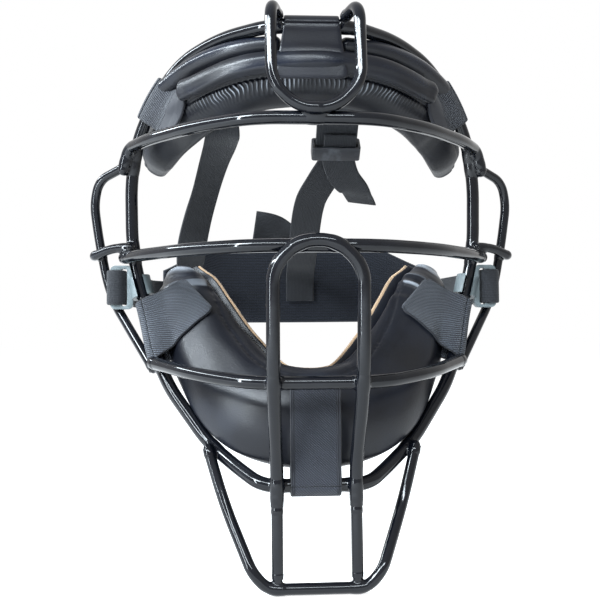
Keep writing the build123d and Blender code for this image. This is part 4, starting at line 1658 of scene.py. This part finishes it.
@dataclass
class ChinPad:
    """Chin pad: a horseshoe cushion with a ridge on each lobe, and its suede lining."""

    outs: tuple[float, ...] = (0.0, 27.0, 47.0, 60.0, 67.0, 70.0)
    backs: tuple[float, ...] = (-39.0, -31.0, -13.0, 2.0, 11.0, 15.5)
    ups: tuple[float, ...] = (-63.0, -57.0, -34.0, -9.0, 7.0, 17.0)
    sizes: tuple[float, ...] = (1.0, 0.97, 0.85, 0.70, 0.58, 0.32)
    width: float = 51.0
    full_width: float = 54.0
    outward: float = 1.8
    depth: float = 27.0
    centre_back: float = 60.0
    centre_drop: float = 99.0
    lining_thickness: float = 2.4
    lining_lip: float = 3.5
    seam_gap: float = 0.3
    suede_edge: float = 1.3
    strip_thickness: float = 1.1
    back_share: float = 0.72
    lining_gap: float = 0.5
    strip_sink: float = 0.7
    strip_outer: float = -0.5
    sheet_steps: tuple[float, float] = (2.4, 2.2)
    sheet_edge: float = 1.0
    sheet_wave: float = 0.5
    sheet_wave_length: float = 17.0
    tip_creases: tuple[float, float] = (84.0, 104.0)
    inner_seam: float = -15.5

    def _frame(self) -> tuple[Array, Array, Array]:
        """Give the pad's sections.

        Returns:
            Their places, facings and sizes.
        """
        places = both_halves(self.outs, self.backs, self.ups)
        facings = places + np.array([0.0, -self.centre_back, self.centre_drop])
        return places, facings, both_sizes(self.sizes)

    def _creases(self, along: Array, deep: Array, across: Array) -> Array:
        """Crease the lobes near their tips and pucker the cover along its back seam.

        Args:
            along: Place of each point along the cushion.
            deep: Its depth.
            across: Its place across.

        Returns:
            How far each point stands out.
        """
        middle = (along.max() + along.min()) / 2
        tip = ramp(np.abs(along - middle), *self.tip_creases)
        folds = swell(along + across * 0.25 + 1.5 * swell(across, 7.0, 42), 4.2, 41)
        wrinkled = 0.55 * folds * tip * ramp(deep, 2.0, 6.0)
        pucker = 0.3 * swell(along, 3.0, 43) * bell(deep, 1.5, 1.6)
        soft = 0.16 * swell(along * 0.5, 16.0, 44)
        inner = bell(across, self.inner_seam, 0.8) * ramp(deep, 4.0, 8.0)
        sewn = inner * (0.25 * swell(along, 1.6, 46) - 0.55)
        return wrinkled + pucker + soft + sewn

    def _backing(self, lip: float, outer_share: float, level: float, thick: float) -> MeshData:
        """Lay a sheet along the pad's back, past its inner edge by a lip.

        Args:
            lip: How far the sheet stands past the pad's inner edge.
            outer_share: Where it ends, as a share of the pad's half width from its middle.
            level: Height of the sheet's middle over the pad's back.
            thick: Thickness of the sheet.

        Returns:
            The sheet's mesh.
        """
        places, facings, sizes = self._frame()
        marks = lengths_along(places)
        along = sheet_lines(marks[-1], self.sheet_edge, self.sheet_steps[0])
        middle = through(places, marks, along)
        facing = through(facings, marks, along)
        size = through(sizes[:, None], marks, along)[:, 0]
        heading = unit(np.gradient(middle, along, axis=0))
        depth_way = square_to(facing, heading)
        across_way = np.cross(heading, depth_way)
        width = self.width / 2 * (1 + outer_share) + lip
        across = sheet_lines(width, self.sheet_edge, self.sheet_steps[1])
        share = across / width
        inner = -size * self.width / 2 - lip
        outer = outer_share * size * self.width / 2
        reach = inner[:, None] + (outer - inner)[:, None] * share[None, :]
        wave = self.sheet_wave * swell(along, self.sheet_wave_length, 51)[:, None]
        wave = wave * (1 - share)[None, :]
        grid = middle[:, None] + reach[..., None] * across_way[:, None]
        grid = grid + (level + wave)[..., None] * depth_way[:, None]
        return Sheet(grid, along, across, thick).mesh()

    def build(self) -> bpy.types.Object:
        """Make the cushion, the lining and the strip of leather between them.

        Returns:
            The cushion.
        """
        places, facings, sizes = self._frame()
        cushion = Cushion(
            places, facings, sizes, self.full_width, self.depth, ridge=-0.35, hold_back=True,
            shift=self.outward, around=56, step=4.0, cap=1.7, inset=0.7, softening=1,
        )
        piece = cushion.cover(self._creases, 5, 3).made("chin_cushion_cover", LEATHER)
        dressed(piece, LEATHER, CAGE, "chin_cushion", "chin_foam", fill=0.75)
        thick = self.lining_thickness
        level = -self.seam_gap - thick / 2 - self.lining_gap
        backing = self._backing(self.lining_lip, self.back_share, level, thick)
        dressed(backing.made("chin_lining_suede", SUEDE), SUEDE, CAGE, "chin_lining")
        thick = self.strip_thickness
        lip = self.lining_lip - self.suede_edge
        strip = self._backing(lip, self.strip_outer, thick / 2 - self.strip_sink, thick)
        dressed(strip.made("chin_seam_strip", LEATHER), LEATHER, CAGE)
        return piece


# ---- tabs round the hoop


@dataclass
class WrapTab:
    """A tab round the hoop: a root sewn to its pad and a flap laid from the fold over the pad."""

    name: str
    origin: tuple[float, float, float]
    lay: tuple[float, float, float]
    front: tuple[float, float, float]
    width: float
    tail: float
    corners: Sequence[tuple[float, float]]
    finish: Finish
    hoop: Array
    pad: bpy.types.Object
    side: Optional[Side] = None
    bore: float = 3.8
    thickness: float = 1.6
    bulge: float = 0.9
    low: float = 0.0
    corner: float = 4.0
    seed: int = 1
    bend_length: float = 7.0
    settle: tuple[float, float] = (3.0, 6.0)
    edge: float = 0.9
    clearance: float = 0.35
    probe: float = 45.0
    smoothing: int = 7
    hem: float = 5.0
    ripple: float = 0.22
    ripple_length: float = 7.0
    bow_fade: float = 14.0
    ease: tuple[float, float] = (1.5, 13.0)

    def _axes(self) -> tuple[Array, Array, Array, Array]:
        """Give the tab's origin and its lay, front and hoop directions."""
        along = np.cross(self.lay, self.front)
        return tuple(np.array(v, float) for v in (self.origin, self.lay, self.front, along))

    def _placed(self, points: Array) -> Array:
        """Place points on the guard.

        Args:
            points: Places along the lay, the front and the hoop.

        Returns:
            Places on the guard.
        """
        origin, lay, front, along = self._axes()
        placed = origin + points[..., :1] * lay + points[..., 1:2] * front
        placed = placed + points[..., 2:] * along
        return placed * MIRROR if self.side is Side.LEFT else placed

    def _bow(self, reach: Array) -> tuple[Array, Array]:
        """Give how far the bent hoop strays from the tab's axis.

        Args:
            reach: Places along the hoop.

        Returns:
            How far it strays along the lay and along the front.
        """
        origin, lay, front, along = self._axes()
        near = self.hoop[np.linalg.norm(self.hoop - origin, axis=1) < self.probe] - origin
        near = near[np.argsort(near @ along)]
        places = near @ along
        return np.interp(reach, places, near @ lay), np.interp(reach, places, near @ front)

    def _resting(self, flat: Array, high: Array) -> Array:
        """Let the cloth down on the pad.

        Args:
            flat: Places in the lay and along the hoop.
            high: Height of the cloth before it is let down.

        Returns:
            Height of the cloth at each place.
        """
        mesh = self.pad.data
        tree = BVHTree.FromPolygons(
            [vertex.co for vertex in mesh.vertices],
            [tuple(polygon.vertices) for polygon in mesh.polygons],
        )
        ends = []
        for height in (self.probe, -self.probe):
            rows = [flat[..., 0], np.full(high.shape, height), flat[..., 1]]
            ends.append(self._placed(np.stack(rows, axis=-1)) * METRE)
        top, low = ends
        floor = np.full(high.shape, -math.inf)
        for spot in np.ndindex(*high.shape):
            way = Vector(low[spot] - top[spot])
            hit = tree.ray_cast(Vector(top[spot]), way.normalized(), way.length)
            if hit[0] is not None:
                floor[spot] = self.probe - hit[3] / METRE
        resting = floor + self.thickness / 2 + self.clearance
        wanted = np.clip(resting, high - self.settle[0], high + self.settle[1])
        least = np.minimum(resting, high + self.settle[1])
        for _turn in range(self.smoothing):
            padded = np.pad(wanted, 1, mode="edge")
            ups_and_downs = padded[:-2, 1:-1] + padded[2:, 1:-1]
            wanted = (ups_and_downs + padded[1:-1, :-2] + padded[1:-1, 2:]) / 4
            wanted = np.maximum(wanted, least)
        return wanted

    @property
    def _middle(self) -> float:
        """Distance from the hoop's middle to the middle of the cloth."""
        return self.bore + self.thickness / 2

    def _root(self) -> MeshData:
        """Wrap the root round the hoop, from its tail to the fold.

        Returns:
            The root's mesh.
        """
        radius = self._middle
        tail = np.linspace(self.tail, 0.0, max(2, int(self.tail / 1.2) + 1))[:-1]
        angles = np.linspace(-math.pi / 2, -3 * math.pi / 2, 22)
        straight = np.stack([tail, np.full(len(tail), -radius)], axis=1)
        bend = np.stack([radius * np.cos(angles), radius * np.sin(angles)], axis=1)
        path = np.concatenate([straight, bend])
        along, middle = laid(path, 0.7, 0.9)
        across = sheet_lines(self.width + self.low, self.edge, 1.6)
        reach = across - self.width / 2 - self.low
        aside, ahead = self._bow(reach)
        lay, front = middle[:, :1] + aside, middle[:, 1:] + ahead
        grid = np.stack(np.broadcast_arrays(lay, front, reach), axis=-1)
        return Sheet(self._placed(grid), along, across, self.thickness, self.edge).mesh()

    def _flap(self) -> MeshData:
        """Lay the flap from the fold over the pad, full in its middle.

        Returns:
            The flap's mesh.
        """
        corners = np.array(self.corners, float)
        near_low, near_high, far_high, far_low = corners
        length = max(far_high[0], far_low[0]) - corners[0][0]
        span = np.linalg.norm(near_high - near_low)
        along = sheet_lines(length, self.edge, 1.2)
        across = sheet_lines(span, self.edge, 1.4)
        s, t = np.meshgrid(along / along[-1], across / across[-1], indexing="ij")
        flat = (
            near_low * ((1 - s) * (1 - t))[..., None]
            + near_high * ((1 - s) * t)[..., None]
            + far_high * (s * t)[..., None]
            + far_low * (s * (1 - t))[..., None]
        )
        end_way, side_way = unit(far_low - near_low), unit(far_high - far_low)
        near_end = (1 - (1 - s) * length / self.corner).clip(0.0, 1.0)
        near_side = (1 - np.minimum(t, 1 - t) * span / self.corner).clip(0.0, 1.0)
        reach = np.hypot(near_end, near_side)
        trim = 1 - np.maximum(near_end, near_side) / np.maximum(reach, 1e-6)
        flat -= (trim * near_end * self.corner)[..., None] * end_way
        flat -= (trim * near_side * self.corner * np.sign(t - 0.5))[..., None] * side_way
        lift = self.bulge * np.sin(math.pi * s.clip(0, 1)) * (1 - (2 * t - 1) ** 2)
        ripple = self.ripple * swell(along, self.ripple_length, self.seed)[:, None]
        ripple = ripple * (2 * t - 1) ** 2
        aside, ahead = self._bow(flat[..., 1])
        fade = 1 - ramp(flat[..., 0], 0.0, self.bow_fade)
        flat[..., 0] += aside * fade
        high = self._middle + ahead * fade
        rested = self._resting(flat, high + lift)
        eased = ramp(flat[..., 0], *self.ease)
        height = high * (1 - eased) + rested * eased + ripple * eased
        grid = np.stack([flat[..., 0], height, flat[..., 1]], axis=-1)
        folds = self._folds(s, t)
        placed = self._placed(grid)
        return Sheet(placed, along, across, self.thickness, self.edge, folds).mesh()

    def _folds(self, s: Array, t: Array) -> Array:
        """Draw the pulls of a leather tab, and the hem of a webbing one.

        Args:
            s: Share of the way from the fold to the far end.
            t: Share of the way across.

        Returns:
            How far each point stands out.
        """
        if isinstance(self.finish, PadLeather):
            pull = swell(t * self.width + s * 6.0, 3.1, self.seed + 7)
            return 0.32 * pull * (1 - s) ** 1.5 + 0.15 * swell(s * 30 + t * 9, 5.0, 3)
        far = self.corners[-1][0]
        return 0.35 * ramp(s * far, far - self.hem, far - self.hem + 0.6)

    def build(self) -> None:
        """Make the root and the flap."""
        node, finish = self.name, self.finish
        root = self._root().made(node.replace("_tab_", "_wrap_root_"), finish)
        dressed(root, finish, CAGE, node.replace("_tab_", "_tab_root_"))
        flap = self._flap().made(node.replace("_tab_", "_wrap_flap_"), finish)
        fold = np.array([[0.0, self._middle, 0.0], [self.bend_length, self._middle, 0.0]])
        start, end = (tuple(place) for place in self._placed(fold) * METRE)
        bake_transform(flap)
        dressed(flap, finish, None, node.replace("_tab_", "_tab_flap_"))


def wrap_tabs(brow: bpy.types.Object, chin: bpy.types.Object) -> list[WrapTab]:
    """List the six tabs.

    Args:
        brow: Cushion of the forehead pad.
        chin: Cushion of the chin pad.

    Returns:
        The tabs of the forehead pad and of the chin pad.
    """
    half = 12.5
    hoop = WireCage().wires()[0].centreline()
    tabs = [
        WrapTab(
            "brow_tab_centre", (0.0, -58.0, 137.0), (0.0, -0.0995, -0.99504),
            (0.0, -0.99504, 0.0995), 28.0, 9.0,
            [(0.1, -14.0), (0.1, 14.0), (28.0, 19.0), (28.0, -19.0)], WRAP_LEATHER,
            hoop, brow, seed=61, settle=(4.0, 4.0),
        ),
        WrapTab(
            "chin_tab_centre", (0.0, -62.0, -93.0), (0.0, -0.02, 0.9998),
            (0.0, -0.9998, -0.02), 25.0, 9.0,
            [(0.1, -half), (0.1, half), (52.0, half), (52.0, -half)], TAB_TWILL,
            hoop, chin, seed=62, settle=(2.0, 6.0),
        ),
    ]
    for side in Side:
        tabs.append(
            WrapTab(
                f"brow_tab_{side.word}", (82.5826, -8.44877, 110.66225),
                (-0.50691, -0.67764, -0.53277), (0.70162, -0.68341, 0.20169), 25.0, 1.0,
                [(0.1, -half), (0.1, half), (28.0, half), (28.0, -half)], TIPPED_TWILL,
                hoop, brow, side, seed=63, settle=(5.0, 5.0),
            )
        )
        tabs.append(
            WrapTab(
                f"chin_tab_{side.word}", (85.37748, -9.09607, -14.25606),
                (-0.91389, -0.24623, 0.32275), (0.33086, -0.91246, 0.24072), 31.0, 6.0,
                [(0.1, -20.5), (0.1, 15.5), (25.5, 20.5), (38.0, -3.0)], FINE_TWILL,
                hoop, chin, side, low=5.0, seed=64, settle=(3.5, 10.0),
            )
        )
    return tabs


# ---- harness


@dataclass
class Harness:
    """Webbing at the crown, side straps and the knitted band at the back of the head."""

    strap: float = 19.0
    top: float = 24.0
    keeper_front: tuple[float, float, float] = (0.0, -0.678, -0.735)
    top_rows: tuple = (
        (16.6, -30.0, 124.0, 0.17, -0.98, 0.0),
        (16.6, -30.0, 119.0, 0.17, -0.98, 0.0),
        (16.6, -29.9, 114.0, 0.17, -0.98, -0.05),
        (16.9, -27.5, 109.4, 0.12, -0.80, -0.58),
        (17.3, -22.5, 107.3, 0.05, -0.32, -0.94),
        (18.3, -12.0, 106.2, 0.0, -0.20, -0.98),
        (19.3, -3.0, 104.2, 0.0, -0.45, -0.89),
    )
    top_keeper: tuple = (
        (19.5, 3.71, 98.99), (19.5, 7.39, 95.6), (19.5, 11.06, 92.21), (19.5, 14.73, 88.82),
        (19.5, 18.41, 85.43),
    )
    crown_keeper: tuple = (
        (19.5, 5.24, 100.65), (19.5, 8.91, 97.26), (19.5, 12.59, 93.87), (19.5, 16.26, 90.48),
        (19.5, 19.94, 87.08), (19.5, 23.61, 83.69),
    )
    crown_rows: tuple = (
        (14.0, 32.0, 75.5, 0.0, -0.66, -0.75),
        (7.0, 46.0, 63.5, 0.0, -0.66, -0.75),
        (4.6, 70.0, 42.5, 0.0, -0.58, -0.81),
        (4.5, 92.0, 30.5, 0.0, -0.43, -0.90),
        (4.5, 105.5, 24.6, 0.0, -0.55, -0.84),
        (4.5, 111.2, 19.0, 0.0, -0.93, -0.36),
        (4.5, 112.3, 12.0, 0.0, -1.0, 0.0),
        (4.5, 112.3, 5.0, 0.0, -1.0, 0.0),
    )
    left_rows: tuple = (
        (-44.6, -14.6, 113.0, -0.66, -0.75, 0.0),
        (-44.6, -14.6, 107.0, -0.66, -0.75, 0.0),
        (-44.2, -13.8, 101.0, -0.66, -0.75, -0.05),
        (-44.6, -10.6, 95.6, -0.45, -0.68, -0.58),
        (-46.0, -4.0, 92.6, -0.15, -0.45, -0.88),
        (-48.0, 9.0, 89.0, 0.05, -0.35, -0.93),
        (-52.0, 25.0, 81.5, 0.30, -0.45, -0.85),
        (-57.0, 40.0, 69.0, 0.45, -0.62, -0.64),
        (-62.0, 51.0, 54.5, 0.40, -0.75, -0.53),
        (-66.5, 64.0, 38.5, 0.25, -0.72, -0.64),
        (-68.3, 80.0, 28.5, 0.35, -0.50, -0.80),
        (-68.9, 89.0, 22.5, 0.55, -0.73, -0.42),
        (-69.0, 90.6, 15.5, 0.61, -0.79, 0.0),
        (-69.0, 90.6, 8.5, 0.61, -0.79, 0.0),
    )
    tail_keeper: tuple = (
        (21.5, 3.66, 95.98), (21.5, 6.59, 93.27), (21.5, 9.53, 90.56), (21.5, 13.21, 87.17),
        (21.5, 16.88, 83.78),
    )
    tail_rows: tuple = (
        (25.5, 25.5, 75.8, -0.15, -0.67, -0.73),
        (32.3, 33.5, 69.4, -0.32, -0.70, -0.64),
        (36.0, 42.0, 66.6, -0.45, -0.74, -0.50),
        (39.5, 49.5, 63.2, -0.52, -0.75, -0.41),
    )
    tab_rows: tuple = (
        (12.0, 71.7, 45.0, 0.0, -0.58, -0.81),
        (4.0, 71.7, 45.0, 0.0, -0.58, -0.81),
        (-5.0, 71.8, 46.0, 0.02, -0.63, -0.78),
        (-15.0, 72.0, 50.2, 0.10, -0.85, -0.52),
        (-27.0, 72.0, 52.0, 0.0, -1.0, -0.10),
    )
    side_points: tuple = (
        (103.9, 0.65), (109.2, 0.65), (109.2, -6.95), (100.3, -6.95), (100.3, 30.85),
        (92.19, 81.01), (87.83, 85.7), (84.97, 88.65), (81.99, 91.47), (78.88, 94.16),
        (75.67, 96.72),
    )
    side_height: float = 8.0
    loop_end: float = 14.0
    loop_span: tuple = ((100.3, 1.5), (100.3, 13.5))
    stretch_span: tuple = ((100.3, 14.5), (90.0, 78.0))
    band_outs: tuple[float, ...] = (-86.0, -50.0, 0.0, 50.0, 86.0)
    band_backs: tuple[float, ...] = (84.0, 108.0, 116.0, 108.0, 84.0)
    band_thickness: float = 2.6
    band_width: float = 55.0
    band_rim: float = 1.4
    band_flat: float = 50.0
    band_end: float = 88.0
    band_sag: float = 0.5
    band_sag_length: float = 21.0
    binding: float = 0.35
    binding_span: tuple[float, float] = (4.0, 4.8)
    band_low: tuple[float, float] = (-9.5, -3.0)
    band_high: tuple[float, float] = (45.5, 23.0)
    crown_stretch: tuple[float, float] = (26.0, 88.0)
    left_stretch: tuple[float, float] = (-2.0, 88.0)

    def _in_keeper(self, places: Sequence[Sequence[float]]) -> list:
        """Give the places in the keeper the way that the webbing faces there."""
        return [(*place, *self.keeper_front) for place in places]

    def _put(
        self, rows: Sequence, width: float, name: str, node: str, seed: int
    ) -> bpy.types.Object:
        """Make a strap that stands for a node.

        Args:
            rows: Its places and the way that its face looks there.
            width: Width of the webbing.
            name: Name of the piece.
            node: The node.
            seed: Seed of its curl.

        Returns:
            The strap, which has no body yet.
        """
        piece = Ribbon(rows, width, seed=seed).sheet().mesh().made(name, STRAP_BLACK)
        dressed(piece, STRAP_BLACK, None, node)
        return piece

    def _side_strap(self, side: Side) -> None:
        """Loop a side strap round its clip and sew it to the band.

        Args:
            side: The side.
        """
        corners = [[side.value * x, y, self.side_height] for x, y in self.side_points]
        line = spaced(Wire("strap", corners, 1.0, mirrored=False).rounded(), 1.5)
        along, middle = laid(line, 1.0, 1.6)
        across = sheet_lines(self.strap, 1.0, 1.9)
        grid = np.repeat(middle[:, None, :], len(across), 1)
        grid[..., 2] += (across - self.strap / 2)[None, :] * side.value
        cut = int(np.argmax(middle[:, 1] > self.loop_end))
        spans = (
            ("loop_", slice(0, cut + 1), f"clip_{side.word}", CAGE, self.loop_span),
            ("", slice(cut, None), CAGE, BAND, self.stretch_span),
        )
        for part, rows, first, second, span in spans:
            sheet = Sheet(grid[rows], along[rows], across, STRAP_THICKNESS)
            piece = sheet.mesh().made(f"side_webbing_{part}{side.word}", STRAP_BLACK)
            start, end = (
                Vector((side.value * x, y, self.side_height)) * METRE for x, y in span
            )
            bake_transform(piece)
            dressed(piece, STRAP_BLACK, None, f"side_strap_{side.word}")

    def _band(self) -> None:
        """Knit the band, deepest in its middle and bound along its edges."""
        outs, backs = np.array(self.band_outs), np.array(self.band_backs)
        dense = np.linspace(outs[0], outs[-1], 121)
        curve = np.stack([dense, np.polyval(np.polyfit(outs, backs, 4), dense)], axis=1)
        along, middle = laid(curve, self.band_rim, 2.2)
        x, y = middle.T
        slack = ((np.abs(x) - self.band_flat) / (self.band_end - self.band_flat)).clip(0.0, 1.0)
        low, high = (
            middle + slack * (end - middle) for middle, end in (self.band_low, self.band_high)
        )
        across = sheet_lines(self.band_width, self.band_rim, 2.0)
        share = across / across[-1]
        sag = self.band_sag * swell(along, self.band_sag_length, 71)[:, None]
        back = y[:, None] + sag * np.sin(math.pi * share)
        up = low[:, None] + (high - low)[:, None] * share
        grid = np.stack(np.broadcast_arrays(x[:, None], back, up), axis=-1)
        inset = np.minimum(across, self.band_width - across)
        rise = self.binding * (1 - ramp(inset, *self.binding_span))
        binding = np.repeat(rise[None, :], len(along), 0)
        sheet = Sheet(grid, along, across, self.band_thickness, 1.3, binding)
        dressed(sheet.mesh().made("back_band_knit", KNIT), KNIT, BAND, "back_band")

    def build(self) -> None:
        """Make the straps and the band."""
        top = [*self.top_rows, *self._in_keeper(self.top_keeper)]
        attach(self._put(top, self.top, "top_webbing", "top_strap", 81), CAGE)
        tail = [*self._in_keeper(self.tail_keeper), *self.tail_rows]
        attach(self._put(tail, self.strap, "loose_tail", "strap_tail", 82), CAGE)
        crown = [*self._in_keeper(self.crown_keeper), *self.crown_rows]
        right = self._put(crown, self.strap, "crown_webbing_right", "crown_strap_right", 83)
        tab = self._put(self.tab_rows, self.strap, "crown_tab", "strap_tab", 85)
        left = self._put(self.left_rows, self.strap, "crown_webbing_left", "crown_strap_left", 84)
        stretches = (
            (right, self.crown_stretch), (tab, self.crown_stretch), (left, self.left_stretch),
        )
        for piece, span in stretches:
            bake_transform(piece)
        for side in Side:
            self._side_strap(side)
        self._band()


# ---- moulded pieces


@dataclass
class Mouldings:
    """Clips and keeper: copies of the CAD parts with their edges broken."""

    frame: dict
    edge: float = 0.45
    edge_angle: float = 38.0
    sharp_angle: float = 32.0
    merge: float = 0.02

    def _moulded(self, node: str, name: str, finish: Finish, body: str) -> None:
        """Copy a node, merge it, break its edges and dress it.

        Args:
            node: The node.
            name: Name of the piece.
            finish: Its finish.
            body: Body that it rides on.
        """
        mesh = self.frame["nodes"][node].data.copy()
        mesh.name = name
        piece = linked(name, mesh)
        weld = piece.modifiers.new("merge", "WELD")
        weld.merge_threshold = self.merge * METRE
        bevel = piece.modifiers.new("edges", "BEVEL")
        bevel.width = self.edge * METRE
        bevel.segments = 2
        bevel.limit_method = "ANGLE"
        bevel.angle_limit = math.radians(self.edge_angle)
        bevel.harden_normals = False
        made = baked(piece, name)
        made.materials.clear()
        made.materials.append(finish.material())
        made.shade_smooth()
        made.set_sharp_from_angle(angle=math.radians(self.sharp_angle))
        dressed(linked(name, made), finish, body, node)

    def build(self) -> None:
        """Make the two clips and the keeper."""
        for side in Side:
            clip = f"clip_{side.word}"
            self._moulded(clip, f"{clip}_moulded", CLIP_GREY, clip)
        self._moulded("keeper", "keeper_moulded", KEEPER_BLACK, "keeper")


# ---- studio


@dataclass
class Studio:
    """Floor, light and camera."""

    camera_place: tuple[float, float, float] = (-37.0, -513.5, -21.7)
    yaw: float = 3.80
    pitch: float = 2.51
    roll: float = -0.45
    lens: float = 54.876
    sensor: float = 36.0
    background: float = 1.0
    daylight: float = 0.28
    floor_colour: float = 0.80
    floor_gap: float = 0.5
    floor_reach: float = 40000.0
    lamp_colour: Colour = (0.84, 0.93, 1.0)
    lamps: tuple = (
        ("key_window", (-950.0, -850.0, 800.0), (420.0, 420.0), 22.0),
        ("front_strip", (-500.0, -1100.0, 900.0), (1800.0, 110.0), 40.0),
        ("left_strip", (-1350.0, -150.0, 900.0), (1900.0, 110.0), 44.0),
        ("side_strip", (-1150.0, -850.0, 20.0), (70.0, 1500.0), 34.0),
    )

    @staticmethod
    def _seen(graph: Graph) -> Flow:
        """Tell rays of the camera, of gloss and through glass from all others.

        Args:
            graph: Graph to add to.

        Returns:
            A flow that is 1 for those rays.
        """
        path = graph.node("ShaderNodeLightPath")
        rays = ("Is Camera Ray", "Is Glossy Ray", "Is Transmission Ray")
        camera, gloss, glass = (Flow(graph, path.outputs[name]) for name in rays)
        return camera.most(gloss).most(glass)

    def _world(self) -> None:
        """Light the scene evenly, and show white to the camera, to gloss and through glass."""
        world = bpy.data.worlds.new("studio")
        world.use_nodes = True
        world.node_tree.nodes.clear()
        graph = Graph(world.node_tree)
        strength = self._seen(graph) * (self.background - self.daylight) + self.daylight
        inputs = {"Color": (1.0, 1.0, 1.0, 1.0), "Strength": strength}
        glow = graph.flow("ShaderNodeBackground", None, inputs)
        graph.node("ShaderNodeOutputWorld", None, {0: glow})
        bpy.context.scene.world = world

    def _floor(self, height: float) -> None:
        """Lay the pale floor, which looks white where its shadow isn't.

        Args:
            height: Height of the floor.
        """
        corners = np.array([[-1, -1], [1, -1], [1, 1], [-1, 1]], float) * self.floor_reach
        points = np.concatenate([corners, np.full((4, 1), height)], axis=1)
        mesh = bpy.data.meshes.new("floor")
        mesh.from_pydata((points * METRE).tolist(), [], [(0, 1, 2, 3)])
        floor = linked("floor", mesh)
        own = self.floor_colour
        fill = 1.0 - own * self.daylight
        settled = {
            "Base Color": (own, own, own, 1.0),
            "Roughness": 0.9,
            "Specular IOR Level": 0.0,
            "Emission Strength": 1.0,
        }
        surface = Surface("pale_floor", settled)
        glow = surface.mixed(self._seen(surface), (0.0, 0.0, 0.0), (fill, fill, fill))
        surface.give("Emission Color", glow)
        mesh.materials.append(surface.material)
        floor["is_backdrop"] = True

    def _lamp(
        self, name: str, place: Sequence[float], size: Sequence[float], power: float
    ) -> None:
        """Hang a soft box that looks at the middle of the guard.

        Args:
            name: Name of the lamp.
            place: Where it hangs.
            size: Its width and height.
            power: Its power in watts.
        """
        light = bpy.data.lights.new(name, "AREA")
        light.shape = "RECTANGLE"
        light.size, light.size_y = (side * METRE for side in size)
        light.energy = power
        light.color = self.lamp_colour
        lamp = linked(name, light)
        lamp.location = Vector(place) * METRE
        lamp.rotation_euler = (-lamp.location).to_track_quat("-Z", "Y").to_euler()

    def _camera(self) -> None:
        """Set the camera where the photograph was taken from."""
        data = bpy.data.cameras.new("camera")
        data.lens = self.lens
        data.sensor_width = self.sensor
        data.clip_start = 0.01
        camera = linked("camera", data)
        turn = (
            Matrix.Rotation(math.radians(-self.yaw), 4, "Z")
            @ Matrix.Rotation(math.radians(90 + self.pitch), 4, "X")
            @ Matrix.Rotation(math.radians(self.roll), 4, "Z")
        )
        camera.matrix_world = Matrix.Translation(Vector(self.camera_place) * METRE) @ turn
        bpy.context.scene.camera = camera

    def build(self, lowest: float) -> None:
        """Set up the studio round the guard.

        Args:
            lowest: Height of the guard's lowest point.
        """
        bpy.context.scene.view_settings.view_transform = "Standard"
        self._world()
        self._floor(lowest - self.floor_gap)
        for lamp in self.lamps:
            self._lamp(*lamp)
        self._camera()


def dress_hidden(frame: dict) -> None:
    """Give every CAD node a finish of its own slot, shown or not.
    """
    finishes = (COATING, LEATHER, STRAP_BLACK, KNIT, SUEDE, CLIP_GREY, KEEPER_BLACK, FOAM)
    by_slot = {finish.slot: finish for finish in finishes}
    slots = {part["node"]: part["material_slot"] for part in frame["record"]["subparts"]}
    for name, node in frame["nodes"].items():
        node.data.materials.clear()
        node.data.materials.append(by_slot[slots[name]].material())


def main() -> None:
    """Build the guard piece by piece."""
    logging.basicConfig(level=logging.INFO, format="%(name)s: %(message)s")
    for thing in list(bpy.data.objects):
        bpy.data.objects.remove(thing)
    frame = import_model()
    cad_low, cad_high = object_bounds()
    dress_hidden(frame)
    WireCage().build()
    brow = ForeheadPad().build()
    chin = ChinPad().build()
    for tab in wrap_tabs(brow, chin):
        tab.build()
    Harness().build()
    Mouldings(frame).build()
    Studio().build(cad_low.z / METRE)


if __name__ == "__main__":
    main()
